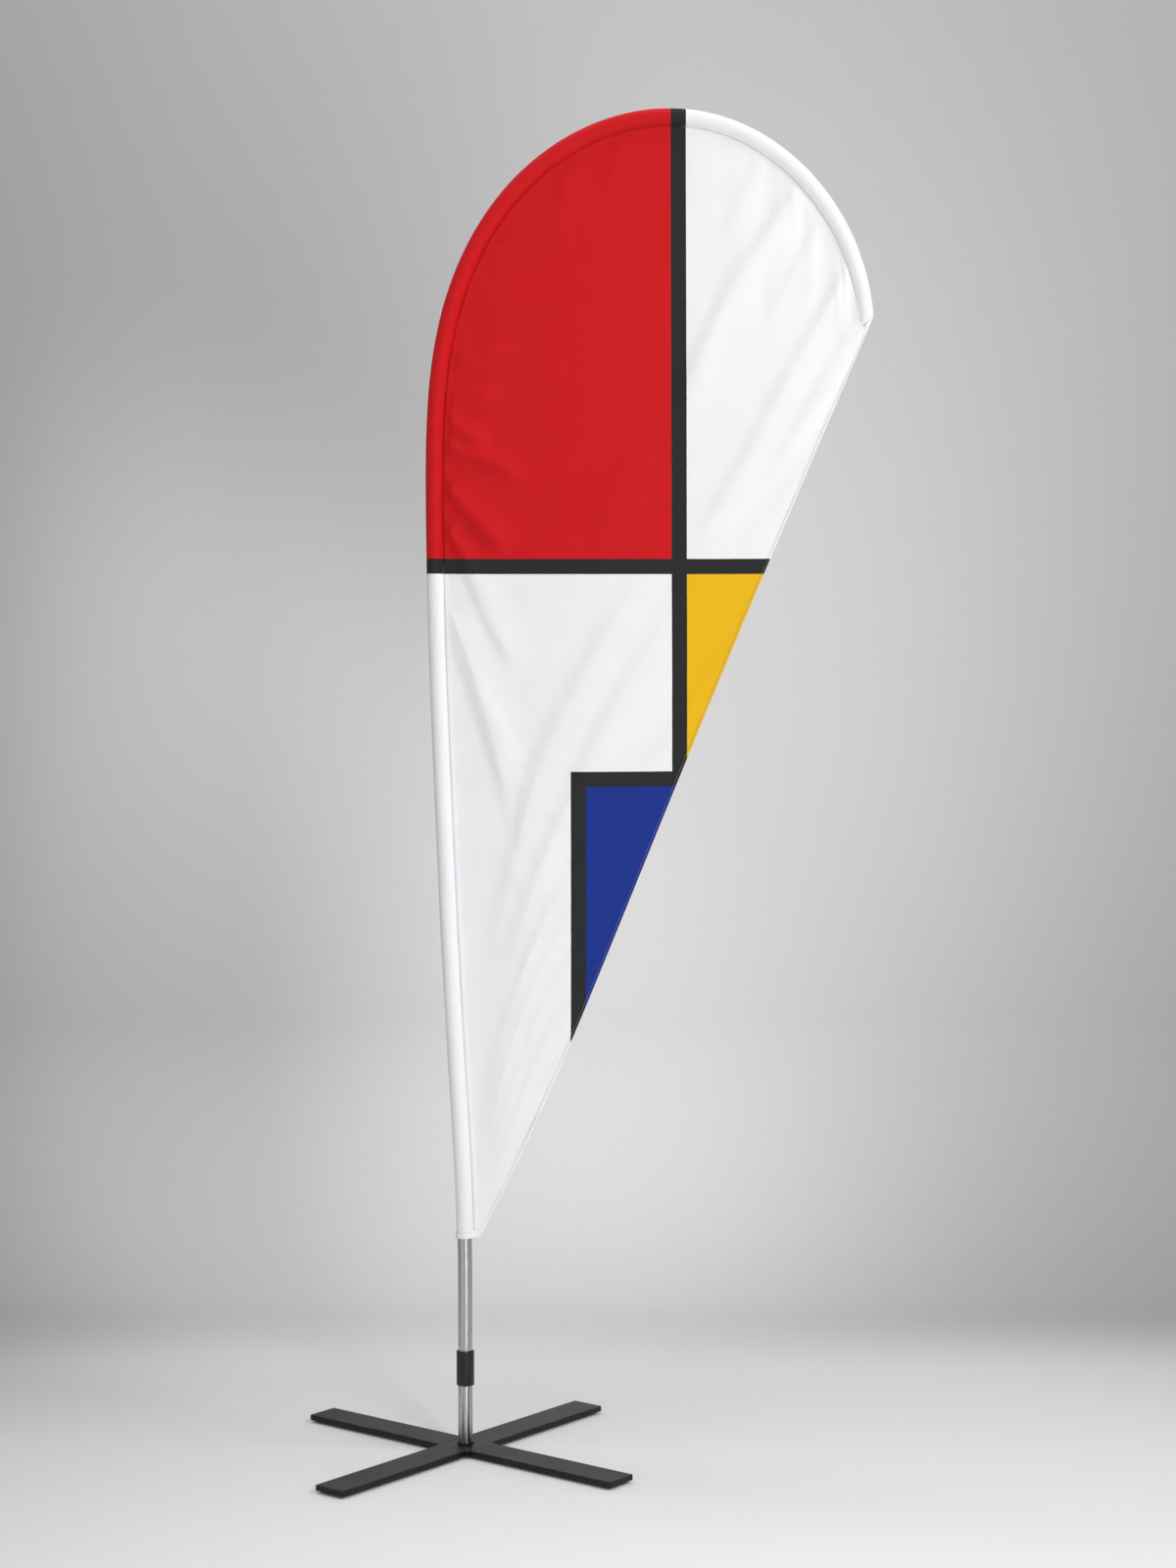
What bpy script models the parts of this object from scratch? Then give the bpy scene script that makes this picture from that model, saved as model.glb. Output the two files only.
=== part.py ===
"""Teardrop flag: a printed cloth on a bowed sectional pole, on a flat cross base with a swivel post.

Metres, +Z up.  The origin is on the post's axis at floor level.  The flag lies in the XZ plane, and the
pole arches towards +X.  The spindle and collar turn in the post, and the pole lifts off the spindle.
"""
import math

import bmesh
import bpy
import numpy as np
from mathutils import Matrix, Vector

# Gaps
TOUCH_GAP = 0.0003          # between pieces that touch
RUNNING_GAP = 0.0004        # round a shaft that turns, slides or plugs in, on the radius

# Cross base
BAR_LENGTH = 0.690
BAR_WIDTH = 0.062
BAR_THICKNESS = 0.010
BAR_EDGE = 0.0008
LOWER_BAR_HEADING = math.radians(-38.4)
FOOT_HEIGHT = 0.004
FOOT_DIAMETER = 0.036
FOOT_INSET = 0.030          # bar end to the foot's centre
CENTRE_PAD_DIAMETER = 0.045
PAD_EDGE = 0.0008

# Hub screw, a countersunk socket screw from below
SCREW_DIAMETER = 0.010
SCREW_HEAD_DIAMETER = 0.018
SCREW_THREAD_IN_PLUG = 0.018
SCREW_SOCKET_ACROSS = 0.006
SCREW_SOCKET_DEPTH = 0.003

# Post
POST_DIAMETER = 0.025
POST_WALL = 0.0015
POST_LENGTH = 0.133
POST_EDGE = 0.0004
FOOT_RING_WIDTH = 0.0016
FOOT_RING_HEIGHT = 0.0025
PLUG_LENGTH = 0.026
THRUST_DISC_DIAMETER = 0.014
THRUST_DISC_THICKNESS = 0.002
BUSH_LENGTH = 0.016
BUSH_FLANGE = 0.002

# Spindle and its snap ring
SPINDLE_DIAMETER = 0.016
SPINDLE_CHAMFER = 0.001
SPIGOT_LENGTH = 0.095       # how far it reaches into the pole
CLIP_GROOVE_DEPTH = 0.0012
CLIP_HEIGHT = 0.0045        # spindle's end to the middle of the groove
CLIP_OPENING = math.radians(50)

# Collar
COLLAR_DIAMETER = 0.031
COLLAR_SKIRT = 0.032        # part of it that covers the post
COLLAR_WEB = 0.006
COLLAR_CUP = 0.022          # part of it that takes the pole
COLLAR_EDGE = 0.0018

# Pole
POLE_DIAMETER = 0.025
POLE_WALL = 0.0015
SECTION_LENGTH = 0.720      # each section's length outside the one below it
PLUG_IN = 0.080             # each section's length inside the one below it
SECTION_WALL = 0.0012
REDUCER_WALL = 0.0009
JOINT_RING_LENGTH = 0.020
JOINT_RING_WALL = 0.0008
TIP_CAP_WALL = 0.0012
TIP_CAP_LENGTH = 0.022
TIP_CAP_END = 0.003

# Bow of the pole: its heading from vertical along the bent part
STRAIGHT_TOP = 0.270        # height where the vertical foot of the pole ends
BENT_LENGTH = 2.779         # from there to the end of the sleeve
BEND_AT = (0.0, 0.10, 0.26, 0.44, 0.56, 0.66, 0.77, 0.88, 1.0)
BEND_HEADING = (0.0, -3.2, -2.5, -1.2, 4.0, 27.8, 70.2, 125.4, 175.3)

# Cloth
HEM_HEIGHT = 0.377          # floor to the flag's lower edge
HEM_BAND = 0.013
HEM_WALL = 0.0013
SLEEVE_EASE = 0.0007        # between the widest pole section and the sleeve, on the radius
SLEEVE_WALL = 0.0008
SLEEVE_TIP_FLATNESS = 0.70  # sleeve's depth over its width, at the tip
CLOTH_THICKNESS = 0.0015
LEADING_HEM_WIDTH = 0.005
LEADING_HEM_THICKNESS = 0.0022
FOOT_WIDTH = 0.012          # cloth beside the sleeve at the lower edge
LEADING_BULGE = 0.012
TIP_POCKET_LENGTH = 0.009

# Fineness of the round shapes
TURNED_STEPS = 32
FINE_STEPS = 24
SLEEVE_SIDES = 16
SECTION_SIDES = 12
STRAIGHT_STATION = 0.090
BOW_STATION = 0.042

# Heights that follow from the sizes above
BASE_TOP = FOOT_HEIGHT + BAR_THICKNESS
POST_FOOT = BASE_TOP + TOUCH_GAP
POST_TOP = POST_FOOT + POST_LENGTH
POST_BORE = POST_DIAMETER - 2 * POST_WALL
CLIP_PROUD = (POST_BORE - SPINDLE_DIAMETER) / 4     # half way from the spindle to the post's bore
CLIP_WIRE = CLIP_PROUD + CLIP_GROOVE_DEPTH - TOUCH_GAP
PLUG_TOP = POST_FOOT + PLUG_LENGTH
DISC_FOOT = PLUG_TOP + TOUCH_GAP
SPINDLE_FOOT = DISC_FOOT + THRUST_DISC_THICKNESS + TOUCH_GAP
CLIP_MIDDLE = SPINDLE_FOOT + CLIP_HEIGHT
LOWER_BUSH_FOOT = CLIP_MIDDLE + CLIP_WIRE / 2 + RUNNING_GAP
FLANGE_FOOT = POST_TOP + TOUCH_GAP
SHOULDER = FLANGE_FOOT + BUSH_FLANGE + RUNNING_GAP
WEB_TOP = SHOULDER + COLLAR_WEB
POLE_FOOT = WEB_TOP + TOUCH_GAP
POLE_BORE = POLE_DIAMETER - 2 * POLE_WALL
SPIGOT_DIAMETER = POLE_BORE - 2 * RUNNING_GAP
SLEEVE_DIAMETER = POLE_DIAMETER + 2 * (SLEEVE_EASE + SLEEVE_WALL)
BUSH_DIAMETER = POST_BORE - 2 * TOUCH_GAP
BUSH_BORE = SPINDLE_DIAMETER + 2 * RUNNING_GAP

# Joints of the pole, as lengths from its foot
JOINT_1 = SECTION_LENGTH
JOINT_2 = JOINT_1 + SECTION_LENGTH
JOINT_3 = JOINT_2 + SECTION_LENGTH
SLEEVE_END = STRAIGHT_TOP - POLE_FOOT + BENT_LENGTH
TIP_POCKET_START = SLEEVE_END - TIP_POCKET_LENGTH
POLE_TIP = TIP_POCKET_START - TOUCH_GAP - TIP_CAP_END - TOUCH_GAP
REDUCER_DIAMETER = POLE_BORE - 2 * RUNNING_GAP
SECTION_2_DIAMETER = REDUCER_DIAMETER - 2 * (REDUCER_WALL + TOUCH_GAP)
SECTION_2_BORE = SECTION_2_DIAMETER - 2 * SECTION_WALL
SECTION_3_DIAMETER = SECTION_2_BORE - 2 * RUNNING_GAP
SECTION_3_BORE = SECTION_3_DIAMETER - 2 * SECTION_WALL
SECTION_4_DIAMETER = SECTION_3_BORE - 2 * RUNNING_GAP


# ---------------------------------------------------------------- scene, materials, placing

def clear_scene():
    """Remove every object that the file starts with."""
    for old in list(bpy.data.objects):
        bpy.data.objects.remove(old, do_unlink=True)


def new_collection(name):
    """Make a collection in the scene."""
    collection = bpy.data.collections.new(name)
    bpy.context.scene.collection.children.link(collection)
    return collection


def finish(name, color, roughness, metallic=0.0):
    """Make one piece's own Principled material."""
    material = bpy.data.materials.new(name)
    material.use_nodes = True
    shader = material.node_tree.nodes["Principled BSDF"]
    shader.inputs["Base Color"].default_value = (*color, 1.0)
    shader.inputs["Roughness"].default_value = roughness
    shader.inputs["Metallic"].default_value = metallic
    return material


def black_enamel(name):
    return finish(name, (0.060, 0.061, 0.065), 0.45)


def black_rubber(name):
    return finish(name, (0.020, 0.020, 0.020), 0.85)


def black_plastic(name):
    return finish(name, (0.022, 0.023, 0.026), 0.40)


def stainless(name):
    return finish(name, (0.62, 0.61, 0.59), 0.22, 1.0)


def plain_steel(name):
    return finish(name, (0.45, 0.45, 0.46), 0.35, 1.0)


def nylon(name):
    return finish(name, (0.78, 0.76, 0.70), 0.50)


def fibreglass(name):
    return finish(name, (0.72, 0.70, 0.62), 0.45)


def white_cloth(name):
    return finish(name, (0.87, 0.87, 0.88), 0.80)


def add_object(name, mesh, collection, material=None):
    """Link a new object that holds a mesh or a curve."""
    piece = bpy.data.objects.new(name, mesh)
    collection.objects.link(piece)
    if material:
        piece.data.materials.append(material)
    return piece


def shade_round(piece):
    """Shade a round piece smooth, with its real edges sharp."""
    piece.data.shade_smooth()
    piece.data.set_sharp_from_angle(angle=math.radians(35))


def hide_cutter(piece):
    """Mark a piece as a tool for cutting, not a part."""
    piece.hide_render = True
    piece.display_type = "WIRE"


def add_boolean(piece, tool, operation):
    """Cut a piece with a tool, or join the tool to it."""
    step = piece.modifiers.new(tool.name, "BOOLEAN")
    step.operation = operation
    step.object = tool
    step.solver = "EXACT"


def hang_on(piece, empty):
    """Parent a piece to its joint's empty without moving it."""
    bpy.context.view_layer.update()
    piece.parent = empty
    piece.matrix_parent_inverse = empty.matrix_world.inverted()


# ---------------------------------------------------------------- turned shapes

def turned(name, profile, collection, material=None, steps=TURNED_STEPS):
    """Turn a profile of (radius, height) points about +Z.

    A solid's profile starts and ends on the axis, and a ring's profile is closed.  Either runs down its
    outer side.
    """
    mesh = bpy.data.meshes.new(name)
    shape = bmesh.new()
    points = [shape.verts.new((radius, 0.0, height)) for radius, height in profile]
    for start, end in zip(points, points[1:]):
        shape.edges.new((start, end))
    if profile[0][0] > 0.0:
        shape.edges.new((points[-1], points[0]))
    shape.to_mesh(mesh)
    shape.free()
    piece = add_object(name, mesh, collection, material)
    screw = piece.modifiers.new("turn", "SCREW")
    screw.axis = "Z"
    screw.steps = steps
    screw.render_steps = steps
    screw.use_merge_vertices = True
    screw.merge_threshold = 0.00001
    screw.use_smooth_shade = True
    return piece


def ring_profile(outer, bore, foot, top, edge=0.0):
    """Return a plain ring's profile, with its outer edges broken by a chamfer."""
    if edge == 0.0:
        return [(outer, top), (outer, foot), (bore, foot), (bore, top)]
    return [
        (outer - edge, top), (outer, top - edge), (outer, foot + edge), (outer - edge, foot),
        (bore, foot), (bore, top),
    ]


def disc_profile(radius, foot, top, edge):
    """Return a solid disc's profile, with its edges broken by a chamfer."""
    return [
        (0.0, top), (radius - edge, top), (radius, top - edge), (radius, foot + edge),
        (radius - edge, foot), (0.0, foot),
    ]


# ---------------------------------------------------------------- the pole's bow

def heading_along(share):
    """Return the pole's heading from vertical, in radians, at a share of its bent length."""
    at = np.array(BEND_AT)
    heading = np.radians(BEND_HEADING)
    slope = np.zeros(len(at))
    slope[1:-1] = (heading[2:] - heading[:-2]) / (at[2:] - at[:-2])
    slope[-1] = (heading[-1] - heading[-2]) / (at[-1] - at[-2])
    span = np.clip(np.searchsorted(at, share, side="right") - 1, 0, len(at) - 2)
    width = at[span + 1] - at[span]
    t = (share - at[span]) / width
    rise = t * t * (3 - 2 * t)
    leave = t * (1 - t) ** 2 * width * slope[span]
    arrive = t * t * (t - 1) * width * slope[span + 1]
    return heading[span] * (1 - rise) + heading[span + 1] * rise + leave + arrive


def trace_pole(steps=2400):
    """Add up the headings into a centre line: lengths from the pole's foot, X, Z and heading."""
    share = np.linspace(0.0, 1.0, steps)
    heading = heading_along(share)
    step = BENT_LENGTH / (steps - 1)
    middle = (heading[1:] + heading[:-1]) / 2
    x = np.concatenate(([0.0, 0.0], np.cumsum(np.sin(middle)) * step))
    z = STRAIGHT_TOP + np.concatenate(([0.0], np.cumsum(np.cos(middle)) * step))
    z = np.concatenate(([POLE_FOOT], z))
    length = STRAIGHT_TOP - POLE_FOOT + share * BENT_LENGTH
    length = np.concatenate(([0.0], length))
    return length, x, z, np.concatenate(([0.0], heading))


TRACE = trace_pole()


def pole_point(length, inward=0.0):
    """Return the point at a length from the pole's foot, moved inward, towards the cloth."""
    x, z, heading = (float(np.interp(length, TRACE[0], row)) for row in TRACE[1:])
    return Vector((x + inward * math.cos(heading), 0.0, z - inward * math.sin(heading)))


def station_marks():
    """Return the lengths where every tube bends: each tube's end, and even marks, closer on the bow."""
    ends = [SLEEVE_END, TIP_POCKET_START, POLE_TIP, POLE_TIP - TIP_CAP_LENGTH]
    for joint in (JOINT_1, JOINT_2, JOINT_3):
        ends += [joint, joint - PLUG_IN, joint - JOINT_RING_LENGTH]
    bow_start = STRAIGHT_TOP - POLE_FOOT + BENT_LENGTH * BEND_AT[3]
    even = list(np.arange(0.0, bow_start, STRAIGHT_STATION))
    even += list(np.arange(bow_start, SLEEVE_END, BOW_STATION))
    clear = BOW_STATION / 4
    even = [mark for mark in even if min(abs(mark - end) for end in ends) > clear]
    return sorted(even + ends)


MARKS = station_marks()


def stations(start, end):
    """Return the lengths from start to end where a tube between them bends."""
    return [start] + [mark for mark in MARKS if start < mark < end] + [end]


def tube_mesh(name, start, end, diameter, sides, capped):
    """Sweep a circle along the pole, between two lengths from its foot, and make it a mesh."""
    path = bpy.data.curves.new(name, "CURVE")
    path.dimensions = "3D"
    path.bevel_depth = diameter / 2
    path.bevel_resolution = (sides - 4) // 2
    path.use_fill_caps = capped
    spline = path.splines.new("POLY")
    points = [pole_point(length) for length in stations(start, end)]
    spline.points.add(len(points) - 1)
    for knot, point in zip(spline.points, points):
        knot.co = (*point, 1.0)
    sweep = bpy.data.objects.new(name, path)
    bpy.context.scene.collection.objects.link(sweep)
    bpy.context.view_layer.update()
    evaluated = sweep.evaluated_get(bpy.context.evaluated_depsgraph_get())
    mesh = bpy.data.meshes.new_from_object(evaluated)
    bpy.data.objects.remove(sweep, do_unlink=True)
    bpy.data.curves.remove(path)
    mesh.name = name
    shape = bmesh.new()
    shape.from_mesh(mesh)
    bmesh.ops.remove_doubles(shape, verts=shape.verts, dist=0.00001)
    bmesh.ops.recalc_face_normals(shape, faces=shape.faces)
    shape.to_mesh(mesh)
    shape.free()
    return mesh


def add_wall(piece, wall):
    """Give an open tube its wall, inward from its outer surface."""
    shell = piece.modifiers.new("wall", "SOLIDIFY")
    shell.thickness = wall
    shell.offset = -1.0
    shell.use_even_offset = True


def hollow_tube(name, span, diameter, wall, collection, material, sides=SECTION_SIDES):
    """Make a tube that follows the pole and is open at both ends."""
    mesh = tube_mesh(name, span[0], span[1], diameter, sides, capped=False)
    piece = add_object(name, mesh, collection, material)
    add_wall(piece, wall)
    shade_round(piece)
    return piece


def solid_rod(name, span, diameter, collection, material, sides=SECTION_SIDES):
    """Make a rod that follows the pole."""
    mesh = tube_mesh(name, span[0], span[1], diameter, sides, capped=True)
    piece = add_object(name, mesh, collection, material)
    shade_round(piece)
    return piece


# ---------------------------------------------------------------- cross base

def lap_cutter(name, heading, foot, top, cutters):
    """Make the block that cuts a bar's half lap, as wide as the other bar and its gap."""
    bpy.ops.mesh.primitive_cube_add(size=1.0)
    block = bpy.context.object
    block.name = name
    across = BAR_WIDTH + 2 * TOUCH_GAP
    beyond = 2 * BAR_WIDTH
    block.data.transform(Matrix.Diagonal((beyond, across, top - foot, 1.0)))
    block.location = (0.0, 0.0, (foot + top) / 2)
    block.rotation_euler = (0.0, 0.0, heading)
    move_to(block, cutters)
    hide_cutter(block)
    return block


def move_to(piece, collection):
    """Move an object that an operator made into its collection."""
    for holder in list(piece.users_collection):
        holder.objects.unlink(piece)
    collection.objects.link(piece)


def make_bar(name, heading, parts):
    """Make one flat bar of the cross, with its edges broken."""
    bpy.ops.mesh.primitive_cube_add(size=1.0)
    bar = bpy.context.object
    bar.name = name
    bar.data.name = name
    bar.data.transform(Matrix.Diagonal((BAR_LENGTH, BAR_WIDTH, BAR_THICKNESS, 1.0)))
    bar.location = (0.0, 0.0, FOOT_HEIGHT + BAR_THICKNESS / 2)
    bar.rotation_euler = (0.0, 0.0, heading)
    bar.data.materials.append(black_enamel(name))
    move_to(bar, parts)
    edge = bar.modifiers.new("broken edge", "BEVEL")
    edge.width = BAR_EDGE
    edge.segments = 2
    return bar


def make_base_bars(parts, cutters):
    """Make the two bars, half-lapped flush at the middle and bored for the hub screw."""
    lap = FOOT_HEIGHT + BAR_THICKNESS / 2
    beyond = BAR_THICKNESS
    upper_heading = LOWER_BAR_HEADING + math.pi / 2
    lower = make_bar("base_bar_lower", LOWER_BAR_HEADING, parts)
    upper = make_bar("base_bar_upper", upper_heading, parts)
    lower_lap = lap_cutter("lower_lap_cut", upper_heading, lap - TOUCH_GAP / 2, lap + beyond, cutters)
    upper_lap = lap_cutter("upper_lap_cut", LOWER_BAR_HEADING, lap - beyond, lap + TOUCH_GAP / 2, cutters)
    add_boolean(lower, lower_lap, "DIFFERENCE")
    add_boolean(upper, upper_lap, "DIFFERENCE")
    hole = SCREW_DIAMETER / 2 + TOUCH_GAP
    mouth = SCREW_HEAD_DIAMETER / 2 + TOUCH_GAP
    profile = [
        (0.0, BASE_TOP + beyond), (hole, BASE_TOP + beyond), (hole, FOOT_HEIGHT + mouth - hole),
        (mouth, FOOT_HEIGHT), (mouth, FOOT_HEIGHT - beyond), (0.0, FOOT_HEIGHT - beyond),
    ]
    bore = turned("hub_hole_cut", profile, cutters, steps=FINE_STEPS)
    hide_cutter(bore)
    add_boolean(lower, bore, "DIFFERENCE")
    add_boolean(upper, bore, "DIFFERENCE")


def make_feet(parts):
    """Make the rubber foot under each bar end, and the pad under the crossing."""
    top = FOOT_HEIGHT - TOUCH_GAP
    reach = BAR_LENGTH / 2 - FOOT_INSET
    profile = disc_profile(FOOT_DIAMETER / 2, 0.0, top, PAD_EDGE)
    first = turned("base_foot_1", profile, parts, black_rubber("base_foot"), FINE_STEPS)
    feet = [first]
    for number in range(2, 5):
        feet.append(add_object(f"base_foot_{number}", first.data, parts))
        step = feet[-1].modifiers.new("turn", "SCREW")
        for setting in ("axis", "steps", "render_steps", "use_merge_vertices", "merge_threshold"):
            setattr(step, setting, getattr(first.modifiers["turn"], setting))
    for number, foot in enumerate(feet):
        heading = LOWER_BAR_HEADING + number * math.pi / 2
        foot.location = (reach * math.cos(heading), reach * math.sin(heading), 0.0)
    profile = disc_profile(CENTRE_PAD_DIAMETER / 2, 0.0, top, PAD_EDGE)
    turned("centre_pad", profile, parts, black_rubber("centre_pad"), FINE_STEPS)


def make_hub_screw(parts, cutters):
    """Make the countersunk screw that pulls the post down on the crossing."""
    shank = SCREW_DIAMETER / 2
    head = SCREW_HEAD_DIAMETER / 2
    top = POST_FOOT + SCREW_THREAD_IN_PLUG
    profile = [
        (0.0, top), (shank - PAD_EDGE, top), (shank, top - PAD_EDGE),
        (shank, FOOT_HEIGHT + TOUCH_GAP + head - shank), (head, FOOT_HEIGHT + TOUCH_GAP),
        (0.0, FOOT_HEIGHT + TOUCH_GAP),
    ]
    screw = turned("hub_screw", profile, parts, plain_steel("hub_screw"), FINE_STEPS)
    bpy.ops.mesh.primitive_cylinder_add(
        vertices=6, radius=SCREW_SOCKET_ACROSS / math.sqrt(3), depth=2 * SCREW_SOCKET_DEPTH,
        location=(0.0, 0.0, FOOT_HEIGHT + TOUCH_GAP))
    socket = bpy.context.object
    socket.name = "screw_socket_cut"
    move_to(socket, cutters)
    hide_cutter(socket)
    add_boolean(screw, socket, "DIFFERENCE")


# ---------------------------------------------------------------- post and swivel

def make_post(parts):
    """Make the fixed tube, the ring round its foot and the threaded plug inside it."""
    profile = ring_profile(POST_DIAMETER / 2, POST_BORE / 2, POST_FOOT, POST_TOP, POST_EDGE)
    turned("post_tube", profile, parts, stainless("post_tube"))
    bore = POST_DIAMETER / 2 + TOUCH_GAP
    top = POST_FOOT + FOOT_RING_HEIGHT
    profile = ring_profile(bore + FOOT_RING_WIDTH, bore, POST_FOOT, top, FOOT_RING_WIDTH / 2)
    turned("foot_ring", profile, parts, black_rubber("foot_ring"))
    hole = SCREW_DIAMETER / 2 + TOUCH_GAP
    outer = POST_BORE / 2 - TOUCH_GAP
    hole_top = POST_FOOT + SCREW_THREAD_IN_PLUG + TOUCH_GAP
    profile = [
        (0.0, PLUG_TOP), (outer, PLUG_TOP), (outer, POST_FOOT), (hole, POST_FOOT), (hole, hole_top),
        (0.0, hole_top),
    ]
    turned("post_plug", profile, parts, plain_steel("post_plug"), FINE_STEPS)


def make_bearings(parts):
    """Make the thrust disc and the two nylon bushes that the spindle turns in."""
    top = DISC_FOOT + THRUST_DISC_THICKNESS
    profile = disc_profile(THRUST_DISC_DIAMETER / 2, DISC_FOOT, top, TOUCH_GAP)
    turned("thrust_disc", profile, parts, plain_steel("thrust_disc"), FINE_STEPS)
    outer = BUSH_DIAMETER / 2
    bore = BUSH_BORE / 2
    profile = ring_profile(outer, bore, LOWER_BUSH_FOOT, LOWER_BUSH_FOOT + BUSH_LENGTH)
    turned("bush_lower", profile, parts, nylon("bush_lower"), FINE_STEPS)
    flange = POST_DIAMETER / 2 - TOUCH_GAP
    flange_top = FLANGE_FOOT + BUSH_FLANGE
    profile = [
        (flange, flange_top), (flange, FLANGE_FOOT), (outer, FLANGE_FOOT),
        (outer, POST_TOP - BUSH_LENGTH), (bore, POST_TOP - BUSH_LENGTH), (bore, flange_top),
    ]
    turned("bush_upper", profile, parts, nylon("bush_upper"), FINE_STEPS)


def make_spindle(parts):
    """Make the stepped spindle: thin in the bushes, thick in the pole, with a snap-ring groove."""
    shaft = SPINDLE_DIAMETER / 2
    spigot = SPIGOT_DIAMETER / 2
    groove = shaft - CLIP_GROOVE_DEPTH
    half = CLIP_WIRE / 2 + TOUCH_GAP
    top = POLE_FOOT + SPIGOT_LENGTH
    profile = [
        (0.0, top), (spigot - 2 * SPINDLE_CHAMFER, top), (spigot, top - 2 * SPINDLE_CHAMFER),
        (spigot, SHOULDER), (shaft, SHOULDER), (shaft, CLIP_MIDDLE + half),
        (groove, CLIP_MIDDLE + half), (groove, CLIP_MIDDLE - half), (shaft, CLIP_MIDDLE - half),
        (shaft, SPINDLE_FOOT + SPINDLE_CHAMFER), (shaft - SPINDLE_CHAMFER, SPINDLE_FOOT),
        (0.0, SPINDLE_FOOT),
    ]
    return turned("spindle", profile, parts, plain_steel("spindle"))


def make_spindle_clip(parts):
    """Make the open wire ring in the spindle's groove, under the lower bush."""
    radius = SPINDLE_DIAMETER / 2 - CLIP_GROOVE_DEPTH + TOUCH_GAP + CLIP_WIRE / 2
    path = bpy.data.curves.new("spindle_clip", "CURVE")
    path.dimensions = "3D"
    path.bevel_depth = CLIP_WIRE / 2
    path.bevel_resolution = 2
    path.use_fill_caps = True
    spline = path.splines.new("POLY")
    count = 20
    spline.points.add(count - 1)
    for number, knot in enumerate(spline.points):
        turn = CLIP_OPENING / 2 + (2 * math.pi - CLIP_OPENING) * number / (count - 1)
        knot.co = (radius * math.cos(turn), radius * math.sin(turn), 0.0, 1.0)
    clip = add_object("spindle_clip", path, parts, plain_steel("spindle_clip"))
    clip.location = (0.0, 0.0, CLIP_MIDDLE)
    return clip


def make_collar(parts):
    """Make the moulded collar: a skirt over the post, a web on the spindle, a cup for the pole."""
    outer = COLLAR_DIAMETER / 2
    skirt = POST_DIAMETER / 2 + RUNNING_GAP
    cup = POLE_DIAMETER / 2 + RUNNING_GAP
    web = SPIGOT_DIAMETER / 2 + TOUCH_GAP
    foot = SHOULDER - COLLAR_SKIRT
    top = WEB_TOP + COLLAR_CUP
    profile = [
        (outer - COLLAR_EDGE, top), (outer - COLLAR_EDGE / 4, top - COLLAR_EDGE / 4),
        (outer, top - COLLAR_EDGE), (outer, foot + COLLAR_EDGE),
        (outer - COLLAR_EDGE / 4, foot + COLLAR_EDGE / 4), (outer - COLLAR_EDGE, foot),
        (skirt, foot), (skirt, SHOULDER), (web, SHOULDER), (web, WEB_TOP), (cup, WEB_TOP), (cup, top),
    ]
    return turned("collar", profile, parts, black_plastic("collar"))


# ---------------------------------------------------------------- pole

def make_pole_sections(parts):
    """Make the steel tube and the three fibreglass sections, each plugged into the one below."""
    span_2 = (JOINT_1 - PLUG_IN, JOINT_2)
    span_3 = (JOINT_2 - PLUG_IN, JOINT_3)
    span_4 = (JOINT_3 - PLUG_IN, POLE_TIP)
    return [
        hollow_tube("pole_section_1", (0.0, JOINT_1), POLE_DIAMETER, POLE_WALL, parts,
                    stainless("pole_section_1"), FINE_STEPS),
        hollow_tube("pole_section_2", span_2, SECTION_2_DIAMETER, SECTION_WALL, parts,
                    fibreglass("pole_section_2")),
        hollow_tube("pole_section_3", span_3, SECTION_3_DIAMETER, SECTION_WALL, parts,
                    fibreglass("pole_section_3")),
        solid_rod("pole_section_4", span_4, SECTION_4_DIAMETER, parts, fibreglass("pole_section_4")),
    ]


def make_pole_fittings(parts):
    """Make the reducer bush, the bands round the fibreglass mouths, and the cap on the tip."""
    reducer = hollow_tube("reducer_bush", (JOINT_1 - PLUG_IN, JOINT_1), REDUCER_DIAMETER, REDUCER_WALL,
                          parts, nylon("reducer_bush"))
    fittings = [reducer]
    for number, mouth, diameter in ((2, JOINT_2, SECTION_2_DIAMETER), (3, JOINT_3, SECTION_3_DIAMETER)):
        name = f"joint_ring_{number}"
        across = diameter + 2 * (RUNNING_GAP + JOINT_RING_WALL)
        span = (mouth - JOINT_RING_LENGTH, mouth)
        fittings.append(hollow_tube(name, span, across, JOINT_RING_WALL, parts, plain_steel(name)))
    bore = SECTION_4_DIAMETER / 2 + RUNNING_GAP
    foot = -TIP_CAP_LENGTH
    profile = [
        (0.0, TIP_CAP_END), (bore, TIP_CAP_END), (bore + TIP_CAP_WALL, 0.0), (bore + TIP_CAP_WALL, foot),
        (bore, foot), (bore, TOUCH_GAP), (0.0, TOUCH_GAP),
    ]
    cap = turned("tip_cap", profile, parts, black_rubber("tip_cap"), FINE_STEPS)
    end = pole_point(POLE_TIP)
    along = end - pole_point(POLE_TIP - TIP_CAP_LENGTH)
    cap.location = end
    cap.rotation_euler = (0.0, math.atan2(along.x, along.z), 0.0)
    fittings.append(cap)
    return fittings


# ---------------------------------------------------------------- cloth

def flatten_towards_tip(mesh):
    """Flatten a sleeve piece across the flag, more and more towards the tip."""
    line = np.column_stack((TRACE[1], TRACE[2]))
    for vertex in mesh.vertices:
        place = np.array((vertex.co.x, vertex.co.z))
        nearest = int(np.argmin(np.sum((line - place) ** 2, axis=1)))
        share = max(0.0, TRACE[0][nearest] / SLEEVE_END - BEND_AT[3]) / (1 - BEND_AT[3])
        vertex.co.y *= 1 - (1 - SLEEVE_TIP_FLATNESS) * share


def length_at_height(height):
    """Return the length from the pole's foot to a height on its rising side."""
    rising = int(np.argmax(TRACE[2]))
    return float(np.interp(height, TRACE[2][:rising], TRACE[0][:rising]))


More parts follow.
